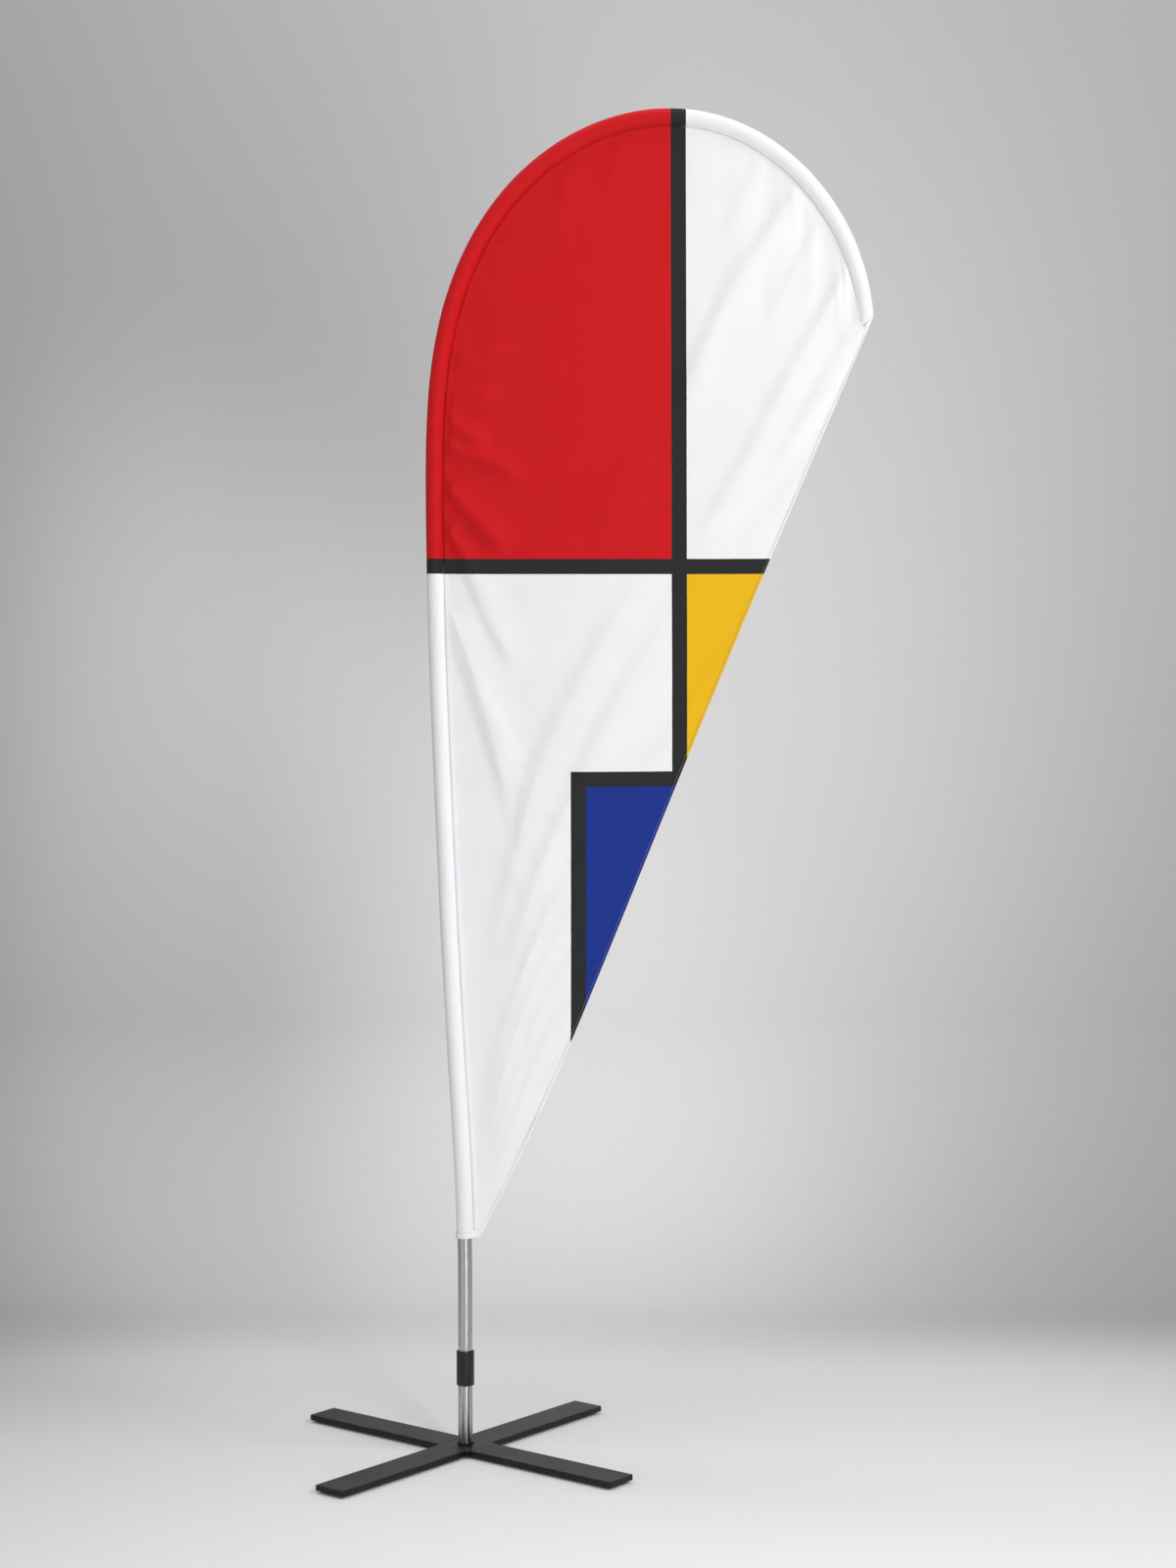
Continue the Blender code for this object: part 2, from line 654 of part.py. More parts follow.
def make_sleeve(parts):
    """Make the cloth sleeve round the pole and the closed pocket in its end."""
    start = length_at_height(HEM_HEIGHT)
    mesh = tube_mesh("flag_sleeve", start, SLEEVE_END, SLEEVE_DIAMETER, SLEEVE_SIDES, capped=False)
    flatten_towards_tip(mesh)
    sleeve = add_object("flag_sleeve", mesh, parts, white_cloth("flag_sleeve"))
    add_wall(sleeve, SLEEVE_WALL)
    shade_round(sleeve)
    inner = SLEEVE_DIAMETER - 2 * (SLEEVE_WALL + RUNNING_GAP) / SLEEVE_TIP_FLATNESS
    mesh = tube_mesh("tip_pocket", TIP_POCKET_START, SLEEVE_END, inner, SLEEVE_SIDES, capped=True)
    flatten_towards_tip(mesh)
    pocket = add_object("tip_pocket", mesh, parts, white_cloth("tip_pocket"))
    return [sleeve, pocket]


def leading_edge(inset, high, low, count=14):
    """Return points down the free edge of the cloth, from one height to another, moved inward."""
    top = pole_point(SLEEVE_END, -SLEEVE_DIAMETER / 2)
    foot = Vector((SLEEVE_DIAMETER / 2 + FOOT_WIDTH, 0.0, HEM_HEIGHT))
    down = (foot - top).normalized()
    outward = Vector((-down.z, 0.0, down.x))
    fullest = 4 / 5
    most = fullest ** 4 * (1 - fullest)
    share = np.linspace(0.0, 1.0, 200)
    aside = LEADING_BULGE * share ** 4 * (1 - share) / most - inset
    x = top.x + (foot.x - top.x) * share + outward.x * aside
    z = top.z + (foot.z - top.z) * share + outward.z * aside
    heights = np.linspace(high, low, count)
    return [Vector((float(np.interp(height, z[::-1], x[::-1])), 0.0, height)) for height in heights]


def flat_piece(name, outline, thickness, collection, material):
    """Make a flat piece in the XZ plane from an outline, as thick as stated."""
    shape = bpy.data.curves.new(name, "CURVE")
    shape.dimensions = "2D"
    shape.fill_mode = "BOTH"
    shape.extrude = thickness / 2
    spline = shape.splines.new("POLY")
    spline.points.add(len(outline) - 1)
    for knot, point in zip(spline.points, outline):
        knot.co = (point.x, point.z, 0.0, 1.0)
    spline.use_cyclic_u = True
    piece = add_object(name, shape, collection, material)
    piece.rotation_euler = (math.pi / 2, 0.0, 0.0)
    return piece


def make_cloth(parts):
    """Make the panel between the sleeve and the free edge, and the hem along that edge."""
    seam = SLEEVE_DIAMETER / 2 + TOUCH_GAP
    low = HEM_HEIGHT + HEM_BAND + TOUCH_GAP
    outline = [pole_point(length, seam) for length in stations(length_at_height(low), SLEEVE_END)]
    high = outline[-1].z - TOUCH_GAP
    outline.append(Vector((outline[-1].x, 0.0, high)))
    edge = leading_edge(LEADING_HEM_WIDTH + TOUCH_GAP, high, low)
    panel = flat_piece("flag_panel", outline + edge, CLOTH_THICKNESS, parts, white_cloth("flag_panel"))
    outer = leading_edge(0.0, high, low)
    inner = leading_edge(LEADING_HEM_WIDTH, high, low)
    hem = flat_piece("leading_hem", outer + inner[::-1], LEADING_HEM_THICKNESS, parts,
                     white_cloth("leading_hem"))
    return [panel, hem]


def make_bottom_hem(parts, cutters):
    """Make the stitched band at the foot of the sleeve, with its flat tail under the cloth."""
    start = length_at_height(HEM_HEIGHT)
    end = length_at_height(HEM_HEIGHT + HEM_BAND)
    across = SLEEVE_DIAMETER + 2 * (TOUCH_GAP + HEM_WALL)
    band = hollow_tube("bottom_hem", (start, end), across, HEM_WALL, parts, white_cloth("bottom_hem"),
                       SLEEVE_SIDES)
    near = pole_point(start).x + SLEEVE_DIAMETER / 2 + TOUCH_GAP
    far = SLEEVE_DIAMETER / 2 + FOOT_WIDTH
    bpy.ops.mesh.primitive_cube_add(size=1.0)
    tail = bpy.context.object
    tail.name = "hem_tail"
    tail.data.transform(Matrix.Diagonal((far - near, LEADING_HEM_THICKNESS, HEM_BAND - TOUCH_GAP, 1.0)))
    tail.location = ((near + far) / 2, 0.0, HEM_HEIGHT + HEM_BAND / 2)
    move_to(tail, cutters)
    hide_cutter(tail)
    add_boolean(band, tail, "UNION")
    return band


# ---------------------------------------------------------------- assembly

def make_axis(name, height, parts):
    """Make the empty that a moving body's pieces hang on, on its joint's axis."""
    empty = bpy.data.objects.new(name, None)
    empty.location = (0.0, 0.0, height)
    parts.objects.link(empty)
    return empty


def build():
    """Build the whole flag."""
    clear_scene()
    parts = new_collection("teardrop_flag")
    cutters = new_collection("cutters")
    make_base_bars(parts, cutters)
    make_feet(parts)
    make_hub_screw(parts, cutters)
    make_post(parts)
    make_bearings(parts)
    swivel = make_axis("flag_swivel", POST_TOP, parts)
    for piece in (make_spindle(parts), make_spindle_clip(parts), make_collar(parts)):
        hang_on(piece, swivel)
    lift = make_axis("mast_lift", POLE_FOOT, parts)
    hang_on(lift, swivel)
    mast = make_pole_sections(parts) + make_pole_fittings(parts)
    mast += make_sleeve(parts) + make_cloth(parts)
    mast.append(make_bottom_hem(parts, cutters))
    for piece in mast:
        hang_on(piece, lift)


build()
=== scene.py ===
import math

import bmesh
import bpy
import numpy as np
from mathutils import Matrix, Vector


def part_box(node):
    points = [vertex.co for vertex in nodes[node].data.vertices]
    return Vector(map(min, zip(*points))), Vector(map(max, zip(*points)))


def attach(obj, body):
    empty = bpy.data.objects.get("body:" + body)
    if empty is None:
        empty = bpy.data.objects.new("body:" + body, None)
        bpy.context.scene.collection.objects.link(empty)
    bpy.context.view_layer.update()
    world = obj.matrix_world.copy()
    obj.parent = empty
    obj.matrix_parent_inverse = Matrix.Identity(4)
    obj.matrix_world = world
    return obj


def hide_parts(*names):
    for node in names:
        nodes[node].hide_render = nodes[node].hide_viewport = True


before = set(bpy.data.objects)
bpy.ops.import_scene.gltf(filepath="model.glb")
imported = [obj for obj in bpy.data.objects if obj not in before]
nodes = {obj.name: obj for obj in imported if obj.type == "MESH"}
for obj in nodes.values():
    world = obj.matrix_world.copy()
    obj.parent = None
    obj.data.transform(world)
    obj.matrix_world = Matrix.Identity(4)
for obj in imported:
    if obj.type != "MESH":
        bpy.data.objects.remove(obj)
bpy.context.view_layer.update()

# ---------------------------------------------------------------- cross base bars
# Two flat steel bars, sheared from 62 x 10 mm flat stock, half-lapped flush at the middle and powder
# coated in a satin black.  The coat has a fine orange peel and has rubbed a little on its top edges.
BAR_LENGTH = 0.690
BAR_WIDTH = 0.062
BAR_THICKNESS = 0.010
FOOT_HEIGHT = 0.004
BAR_TOP = FOOT_HEIGHT + BAR_THICKNESS
RIM = 0.0014
LOWER_BAR_HEADING = math.radians(-38.4)
UPPER_BAR_HEADING = LOWER_BAR_HEADING + math.pi / 2


def linear(hex_colour):
    """Turn an sRGB hex colour into linear RGBA."""
    shares = [int(hex_colour[at:at + 2], 16) / 255 for at in (1, 3, 5)]
    return (*[c / 12.92 if c <= 0.04045 else ((c + 0.055) / 1.055) ** 2.4 for c in shares], 1.0)


def start_material(name):
    """Make a material and return it with its node tree and its shader."""
    material = bpy.data.materials.new(name)
    material.use_nodes = True
    return material, material.node_tree, material.node_tree.nodes["Principled BSDF"]


def add_node(tree, kind, inputs, **settings):
    """Add a node with its settings.  Each input is a value, or another node's output to link."""
    node = tree.nodes.new("ShaderNode" + kind)
    for name, value in settings.items():
        setattr(node, name, value)
    for socket, value in inputs.items():
        if isinstance(value, bpy.types.NodeSocket):
            tree.links.new(value, node.inputs[socket])
        else:
            node.inputs[socket].default_value = value
    return node


def powder_coat(name, heading):
    """Satin black polyester powder coat: a soft gloss, broken up by orange peel of 1.5 mm."""
    material, tree, shader = start_material(name)
    link = tree.links.new
    place = add_node(tree, "TexCoord", {}).outputs["Object"]
    on_bar = add_node(tree, "Mapping", {"Vector": place, "Rotation": (0.0, 0.0, -heading)})
    axes = add_node(tree, "SeparateXYZ", {0: on_bar.outputs[0]}).outputs
    across = add_node(tree, "Math", {0: axes["Y"]}, operation="ABSOLUTE").outputs[0]
    along = add_node(tree, "Math", {0: axes["X"]}, operation="ABSOLUTE").outputs[0]
    side = add_node(tree, "MapRange", {
        0: across, 1: BAR_WIDTH / 2 - RIM, 2: BAR_WIDTH / 2 - 0.0003}).outputs[0]
    end = add_node(tree, "MapRange", {
        0: along, 1: BAR_LENGTH / 2 - RIM, 2: BAR_LENGTH / 2 - 0.0003}).outputs[0]
    high = add_node(tree, "MapRange", {0: axes["Z"], 1: BAR_TOP - 0.0010, 2: BAR_TOP - 0.0002}).outputs[0]
    edge = add_node(tree, "Math", {0: side, 1: end}, operation="MAXIMUM").outputs[0]
    rim = add_node(tree, "Math", {0: edge, 1: high}, operation="MULTIPLY").outputs[0]
    patches = add_node(tree, "TexNoise", {"Vector": place, "Scale": 45.0, "Detail": 6.0}).outputs[0]
    worn = add_node(tree, "MapRange", {0: patches, 1: 0.42, 2: 0.66}).outputs[0]
    rubbed = add_node(tree, "Math", {0: rim, 1: worn}, operation="MULTIPLY").outputs[0]
    haze = add_node(tree, "TexNoise", {"Vector": place, "Scale": 9.0, "Detail": 4.0}).outputs[0]
    coat = add_node(tree, "Mix", {0: haze, 6: linear("#0c0d0e"), 7: linear("#121314")}, data_type="RGBA")
    bare = add_node(tree, "Mix", {0: rubbed, 6: coat.outputs[2], 7: linear("#4a4b4e")}, data_type="RGBA")
    link(bare.outputs[2], shader.inputs["Base Color"])
    gloss = add_node(tree, "MapRange", {0: haze, 3: 0.36, 4: 0.50}).outputs[0]
    link(gloss, shader.inputs["Roughness"])
    shader.inputs["Specular IOR Level"].default_value = 0.30
    peel = add_node(tree, "TexNoise", {"Vector": place, "Scale": 650.0, "Detail": 2.0}).outputs[0]
    bump = add_node(tree, "Bump", {"Height": peel, "Strength": 0.22, "Distance": 0.0002})
    link(bump.outputs[0], shader.inputs["Normal"])
    return material


def dress(node, material):
    """Give a CAD node its better material."""
    for slot in nodes[node].material_slots:
        slot.material = material


dress("base_bar_lower", powder_coat("powder_coated_steel_lower", LOWER_BAR_HEADING))
dress("base_bar_upper", powder_coat("powder_coated_steel_upper", UPPER_BAR_HEADING))

# ---------------------------------------------------------------- weld beads
# A short upright weld in each of the four inner corners of the cross holds the two bars together.
# The beads are coated with the bars, and their ripples show through the coat.
BEAD_RADIUS = 0.0045
BEAD_OUT = 0.0012
BEAD_FOOT = FOOT_HEIGHT + 0.0008
BEAD_TOP = BAR_TOP - 0.0006


def finish_mesh(name, shape, material, smooth=35.0):
    """Turn a bmesh into an object with one material, smooth but for its real edges."""
    mesh = bpy.data.meshes.new(name)
    shape.to_mesh(mesh)
    shape.free()
    mesh.materials.append(material)
    mesh.shade_smooth()
    mesh.set_sharp_from_angle(angle=math.radians(smooth))
    piece = bpy.data.objects.new(name, mesh)
    bpy.context.scene.collection.objects.link(piece)
    return piece


def turn_profile(profile, steps, edge=0.0, segments=3):
    """Spin (radius, height) points about the upright axis, and round the sharp edges.

    A profile that starts on the axis is a solid.  Any other is closed into a ring.
    """
    shape = bmesh.new()
    points = [shape.verts.new((radius, 0.0, height)) for radius, height in profile]
    for one, other in zip(points, points[1:]):
        shape.edges.new((one, other))
    if profile[0][0] > 0.0:
        shape.edges.new((points[-1], points[0]))
    bmesh.ops.spin(
        shape, geom=shape.verts[:] + shape.edges[:], cent=(0, 0, 0), axis=(0, 0, 1), dvec=(0, 0, 0),
        angle=2 * math.pi, steps=steps, use_merge=True, use_duplicate=False)
    bmesh.ops.remove_doubles(shape, verts=shape.verts, dist=0.000001)
    bmesh.ops.recalc_face_normals(shape, faces=shape.faces)
    if edge:
        turn = math.radians(25)
        corners = [e for e in shape.edges if len(e.link_faces) == 2 and e.calc_face_angle(0.0) > turn]
        bmesh.ops.bevel(
            shape, geom=corners, offset=edge, offset_type="OFFSET", segments=segments, profile=0.5,
            affect="EDGES", material=-1, clamp_overlap=True)
    return shape


bead_coat = powder_coat("powder_coated_weld", LOWER_BAR_HEADING)
for number in range(4):
    ripple = [(0.0, BEAD_TOP), (BEAD_RADIUS * 0.72, BEAD_TOP - 0.0002)]
    for step in range(9):
        share = step / 8
        swell = 0.93 + 0.07 * math.cos(step * math.pi)
        ripple.append((BEAD_RADIUS * swell, BEAD_TOP - 0.0010 + (BEAD_FOOT - BEAD_TOP + 0.0018) * share))
    ripple += [(BEAD_RADIUS * 0.8, BEAD_FOOT), (0.0, BEAD_FOOT)]
    shape = turn_profile(ripple, 24)
    corner = Vector((BAR_WIDTH / 2 + BEAD_OUT, BAR_WIDTH / 2 + BEAD_OUT, 0.0))
    turned = Matrix.Rotation(LOWER_BAR_HEADING + number * math.pi / 2, 4, "Z")
    bmesh.ops.translate(shape, verts=shape.verts, vec=turned @ corner)
    bead = finish_mesh(f"weld_bead_{number + 1}", shape, bead_coat, 60.0)
    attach(bead, "base")

# ---------------------------------------------------------------- rubber feet and centre pad
# A moulded rubber disc is stuck under each bar end, with a wider one under the crossing.  Each has
# two grooves in its tread, and a dull, slightly dusty black skin.
FOOT_RADIUS = 0.018
PAD_RADIUS = 0.0225
FOOT_REACH = BAR_LENGTH / 2 - 0.030
FOOT_TOP = FOOT_HEIGHT - 0.0003


def rubber(name, colour):
    """Moulded black rubber: matt, with a fine mould texture of 0.5 mm and a little grey dust."""
    material, tree, shader = start_material(name)
    place = add_node(tree, "TexCoord", {}).outputs["Object"]
    dust = add_node(tree, "TexNoise", {"Vector": place, "Scale": 60.0, "Detail": 5.0}).outputs[0]
    amount = add_node(tree, "MapRange", {0: dust, 1: 0.45, 2: 0.75, 4: 0.35}).outputs[0]
    skin = add_node(tree, "Mix", {0: amount, 6: linear(colour), 7: linear("#4a4a48")}, data_type="RGBA")
    tree.links.new(skin.outputs[2], shader.inputs["Base Color"])
    dull = add_node(tree, "MapRange", {0: dust, 3: 0.70, 4: 0.92}).outputs[0]
    tree.links.new(dull, shader.inputs["Roughness"])
    mould = add_node(tree, "TexNoise", {"Vector": place, "Scale": 2000.0, "Detail": 1.0}).outputs[0]
    bump = add_node(tree, "Bump", {"Height": mould, "Strength": 0.3, "Distance": 0.0001})
    tree.links.new(bump.outputs[0], shader.inputs["Normal"])
    return material


def tread_profile(radius):
    """Return a foot's profile, from the middle of its top round to the middle of its tread."""
    groove = 0.0010
    depth = 0.0009
    profile = [(0.0, FOOT_TOP), (radius, FOOT_TOP), (radius, 0.0006), (radius - 0.0006, 0.0)]
    for share in (0.78, 0.50):
        middle = radius * share
        profile += [(middle + groove, 0.0), (middle + groove / 2, depth), (middle - groove / 2, depth),
                    (middle - groove, 0.0)]
    return profile + [(0.0, 0.0)]


foot_rubber = rubber("moulded_rubber", "#171717")
for number in range(4):
    shape = turn_profile(tread_profile(FOOT_RADIUS), 48, 0.0003, 2)
    heading = LOWER_BAR_HEADING + number * math.pi / 2
    out = Vector((FOOT_REACH * math.cos(heading), FOOT_REACH * math.sin(heading), 0.0))
    bmesh.ops.translate(shape, verts=shape.verts, vec=out)
    foot = finish_mesh(f"rubber_foot_{number + 1}", shape, foot_rubber)
    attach(foot, "base")
    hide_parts(f"base_foot_{number + 1}")
pad = finish_mesh("rubber_centre_pad", turn_profile(tread_profile(PAD_RADIUS), 48, 0.0003, 2), foot_rubber)
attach(pad, "base")
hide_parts("centre_pad")

# ---------------------------------------------------------------- hub screw, plug and bearings
# A zinc-plated socket screw pulls the post down by a steel plug inside it.  Above the plug are a
# steel disc and two turned nylon bushes.  They are out of sight, with plain workshop finishes.


def machined(name, light, dark, rough):
    """Machined or plated steel: a metal with fine turning lines of 0.4 mm round its axis."""
    material, tree, shader = start_material(name)
    place = add_node(tree, "TexCoord", {}).outputs["Object"]
    cloud = add_node(tree, "TexNoise", {"Vector": place, "Scale": 120.0, "Detail": 4.0}).outputs[0]
    tone = add_node(tree, "Mix", {0: cloud, 6: linear(dark), 7: linear(light)}, data_type="RGBA")
    tree.links.new(tone.outputs[2], shader.inputs["Base Color"])
    shader.inputs["Metallic"].default_value = 1.0
    shine = add_node(tree, "MapRange", {0: cloud, 3: rough - 0.06, 4: rough + 0.08}).outputs[0]
    tree.links.new(shine, shader.inputs["Roughness"])
    lines = add_node(tree, "TexWave", {
        "Vector": place, "Scale": 800.0, "Distortion": 0.6}, bands_direction="Z").outputs[0]
    bump = add_node(tree, "Bump", {"Height": lines, "Strength": 0.12, "Distance": 0.00005})
    tree.links.new(bump.outputs[0], shader.inputs["Normal"])
    return material


def moulded(name, colour, pale, rough):
    """Turned nylon or pultruded fibreglass: a pale satin body with faint clouding and machining."""
    material, tree, shader = start_material(name)
    place = add_node(tree, "TexCoord", {}).outputs["Object"]
    cloud = add_node(tree, "TexNoise", {"Vector": place, "Scale": 80.0, "Detail": 5.0}).outputs[0]
    tone = add_node(tree, "Mix", {0: cloud, 6: linear(colour), 7: linear(pale)}, data_type="RGBA")
    tree.links.new(tone.outputs[2], shader.inputs["Base Color"])
    shine = add_node(tree, "MapRange", {0: cloud, 3: rough, 4: rough + 0.12}).outputs[0]
    tree.links.new(shine, shader.inputs["Roughness"])
    grain = add_node(tree, "TexNoise", {"Vector": place, "Scale": 900.0, "Detail": 2.0}).outputs[0]
    bump = add_node(tree, "Bump", {"Height": grain, "Strength": 0.1, "Distance": 0.0001})
    tree.links.new(bump.outputs[0], shader.inputs["Normal"])
    return material


dress("hub_screw", machined("zinc_plated_steel", "#b9bcc0", "#9ba0a6", 0.34))
plain_steel = machined("turned_mild_steel", "#a3a4a6", "#868789", 0.36)
for name in ("post_plug", "thrust_disc"):
    dress(name, plain_steel)
turned_nylon = moulded("turned_nylon", "#d6d0bd", "#e6e2d4", 0.42)
for name in ("bush_lower", "bush_upper"):
    dress(name, turned_nylon)

# ---------------------------------------------------------------- post and the ring round its foot
# The post is a 25 x 1.5 mm polished stainless tube with its ends deburred.  A thin rubber ring
# round its foot keeps water out of the joint with the base.
POST_RADIUS = 0.0125
POST_BORE_RADIUS = 0.0110
POST_FOOT = BAR_TOP + 0.0003
POST_TOP = POST_FOOT + 0.133


def polished_tube(name):
    """Belt-polished stainless tube: fine rings round it draw its reflections out along its length."""
    material, tree, shader = start_material(name)
    place = add_node(tree, "TexCoord", {}).outputs["Object"]
    shader.inputs["Metallic"].default_value = 1.0
    shader.inputs["Anisotropic"].default_value = 1.0
    shader.inputs["Anisotropic Rotation"].default_value = 0.25
    around = add_node(tree, "Tangent", {}, direction_type="RADIAL", axis="Z").outputs[0]
    tree.links.new(around, shader.inputs["Tangent"])
    stretch = add_node(tree, "Mapping", {"Vector": place, "Scale": (0.05, 0.05, 1.0)}).outputs[0]
    lines = add_node(tree, "TexNoise", {"Vector": stretch, "Scale": 1400.0, "Detail": 3.0}).outputs[0]
    smear = add_node(tree, "TexNoise", {"Vector": place, "Scale": 40.0, "Detail": 5.0}).outputs[0]
    tone = add_node(tree, "Mix", {0: lines, 6: linear("#b9b7b2"), 7: linear("#d9d8d5")}, data_type="RGBA")
    tree.links.new(tone.outputs[2], shader.inputs["Base Color"])
    both = add_node(tree, "Math", {0: lines, 1: smear}, operation="ADD").outputs[0]
    shine = add_node(tree, "MapRange", {0: both, 1: 0.6, 2: 1.4, 3: 0.23, 4: 0.29}).outputs[0]
    tree.links.new(shine, shader.inputs["Roughness"])
    bump = add_node(tree, "Bump", {"Height": lines, "Strength": 0.05, "Distance": 0.00005})
    tree.links.new(bump.outputs[0], shader.inputs["Normal"])
    return material


polished_steel = polished_tube("polished_stainless")
profile = [(POST_RADIUS, POST_TOP), (POST_RADIUS, POST_FOOT), (POST_BORE_RADIUS, POST_FOOT),
           (POST_BORE_RADIUS, POST_TOP)]
post = finish_mesh("polished_post", turn_profile(profile, 80, 0.0003, 2), polished_steel)
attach(post, "base")
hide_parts("post_tube")
inner = POST_RADIUS + 0.0002
profile = [(inner + 0.0016, POST_FOOT + 0.0025), (inner + 0.0016, POST_FOOT), (inner, POST_FOOT),
           (inner, POST_FOOT + 0.0025)]
ring_shape = turn_profile(profile, 64, 0.0007, 3)
ring = finish_mesh("rubber_foot_ring", ring_shape, rubber("ring_rubber", "#101010"))
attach(ring, "base")
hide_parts("foot_ring")

# ---------------------------------------------------------------- spindle and its snap ring
# A turned steel spindle runs in the bushes and carries the pole.  A spring-wire snap ring in its
# groove stops it lifting out of the post.
dress("spindle", machined("turned_spindle_steel", "#b4b5b7", "#909194", 0.28))
dress("spindle_clip", machined("spring_steel_wire", "#8d8e92", "#6b6c70", 0.30))

# ---------------------------------------------------------------- collar
# The collar is injection moulded in black nylon, 31 mm across, with well rounded ends.  It is
# fixed to the spindle, its skirt covers the top of the post, and its cup takes the pole's foot.
COLLAR_RADIUS = 0.0155
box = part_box("collar")
collar_foot, collar_top = box[0][2], box[1][2]
SKIRT_RADIUS = 0.0129
WEB_RADIUS = 0.0109
web_foot = collar_foot + 0.032
web_top = web_foot + 0.006


def black_nylon(name):
    """Moulded black nylon: a satin skin with spark texture of 0.4 mm, a parting line, and scuffs."""
    material, tree, shader = start_material(name)
    place = add_node(tree, "TexCoord", {}).outputs["Object"]
    scuff = add_node(tree, "TexNoise", {"Vector": place, "Scale": 160.0, "Detail": 6.0}).outputs[0]
    rubbed = add_node(tree, "MapRange", {0: scuff, 1: 0.55, 2: 0.80, 4: 0.5}).outputs[0]
    skin = add_node(tree, "Mix", {0: rubbed, 6: linear("#121315"), 7: linear("#2c2d30")}, data_type="RGBA")
    tree.links.new(skin.outputs[2], shader.inputs["Base Color"])
    shine = add_node(tree, "MapRange", {0: scuff, 3: 0.30, 4: 0.44}).outputs[0]
    tree.links.new(shine, shader.inputs["Roughness"])
    spark = add_node(tree, "TexNoise", {"Vector": place, "Scale": 2400.0, "Detail": 1.0}).outputs[0]
    axes = add_node(tree, "SeparateXYZ", {0: place}).outputs
    beside = add_node(tree, "Math", {0: axes["Y"]}, operation="ABSOLUTE").outputs[0]
    parting = add_node(tree, "MapRange", {0: beside, 1: 0.0001, 2: 0.0003, 3: 3.0, 4: 0.0}).outputs[0]
    height = add_node(tree, "Math", {0: spark, 1: parting}, operation="ADD").outputs[0]
    bump = add_node(tree, "Bump", {"Height": height, "Strength": 0.25, "Distance": 0.0001})
    tree.links.new(bump.outputs[0], shader.inputs["Normal"])
    return material


profile = [
    (COLLAR_RADIUS, collar_top), (COLLAR_RADIUS, collar_foot), (SKIRT_RADIUS, collar_foot),
    (SKIRT_RADIUS, web_foot), (WEB_RADIUS, web_foot), (WEB_RADIUS, web_top), (SKIRT_RADIUS, web_top),
    (SKIRT_RADIUS, collar_top),
]
collar = finish_mesh("moulded_collar", turn_profile(profile, 80, 0.0010, 4), black_nylon("moulded_nylon"))
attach(collar, "rotor")
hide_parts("collar")

# ---------------------------------------------------------------- lower pole
# The lowest pole section is the same 25 mm polished stainless tube as the post.  It slides over
# the spindle into the collar, and it bends very slightly backwards under the pull of the flag.
POLE_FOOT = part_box("pole_section_1")[0][2]
POLE_RADIUS = 0.0125
POLE_BORE_RADIUS = 0.0110
SECTION_LENGTH = 0.720
STRAIGHT_TOP = 0.270
BENT_LENGTH = 2.779
BEND_AT = (0.0, 0.10, 0.26, 0.44, 0.56, 0.66, 0.77, 0.88, 1.0)
BEND_HEADING = (0.0, -3.2, -2.5, -1.2, 4.0, 27.8, 70.2, 125.4, 175.3)


def heading_along(share):
    """Return the pole's heading from vertical, in radians, at a share of its bent length."""
    at = np.array(BEND_AT)
    heading = np.radians(BEND_HEADING)
    slope = np.zeros(len(at))
    slope[1:-1] = (heading[2:] - heading[:-2]) / (at[2:] - at[:-2])
    slope[-1] = (heading[-1] - heading[-2]) / (at[-1] - at[-2])
    span = np.clip(np.searchsorted(at, share, side="right") - 1, 0, len(at) - 2)
    width = at[span + 1] - at[span]
    t = (share - at[span]) / width
    rise = t * t * (3 - 2 * t)
    leave = t * (1 - t) ** 2 * width * slope[span]
    arrive = t * t * (t - 1) * width * slope[span + 1]
    return heading[span] * (1 - rise) + heading[span + 1] * rise + leave + arrive


def trace_pole(steps=2400):
    """Add up the headings into a centre line: lengths from the pole's foot, X, Z and heading."""
    share = np.linspace(0.0, 1.0, steps)
    heading = heading_along(share)
    step = BENT_LENGTH / (steps - 1)
    middle = (heading[1:] + heading[:-1]) / 2
    x = np.concatenate(([0.0, 0.0], np.cumsum(np.sin(middle)) * step))
    z = STRAIGHT_TOP + np.concatenate(([0.0], np.cumsum(np.cos(middle)) * step))
    length = np.concatenate(([0.0], STRAIGHT_TOP - POLE_FOOT + share * BENT_LENGTH))
    return length, x, np.concatenate(([POLE_FOOT], z)), np.concatenate(([0.0], heading))


TRACE = trace_pole()


def beside_pole(length, inward=0.0, forward=0.0):
    """Return the point at a length up the pole, or past its end, moved inward to the cloth and forward."""
    x, z, heading = (float(np.interp(length, TRACE[0], row)) for row in TRACE[1:])
    past = max(0.0, length - TRACE[0][-1])
    x += past * math.sin(heading) + inward * math.cos(heading)
    z += past * math.cos(heading) - inward * math.sin(heading)
    return Vector((x, -forward, z))


def sweep_loop(sections, capped=False):
    """Extrude a closed loop from each section's points to the next section's."""
    shape = bmesh.new()
    ring = [shape.verts.new(point) for point in sections[0]]
    edges = [shape.edges.new((one, other)) for one, other in zip(ring, ring[1:] + ring[:1])]
    ends = [edges]
    for section in sections[1:]:
        grown = bmesh.ops.extrude_edge_only(shape, edges=edges)["geom"]
        fresh = {item for item in grown if isinstance(item, bmesh.types.BMVert)}
        ring = [next(e.other_vert(v) for e in v.link_edges if e.other_vert(v) in fresh) for v in ring]
        edges = [item for item in grown if isinstance(item, bmesh.types.BMEdge)]
        for vertex, point in zip(ring, section):
            vertex.co = point
    ends.append(edges)
    if capped:
        for edges in ends:
            bmesh.ops.contextual_create(shape, geom=edges)
    bmesh.ops.recalc_face_normals(shape, faces=shape.faces)
    return shape


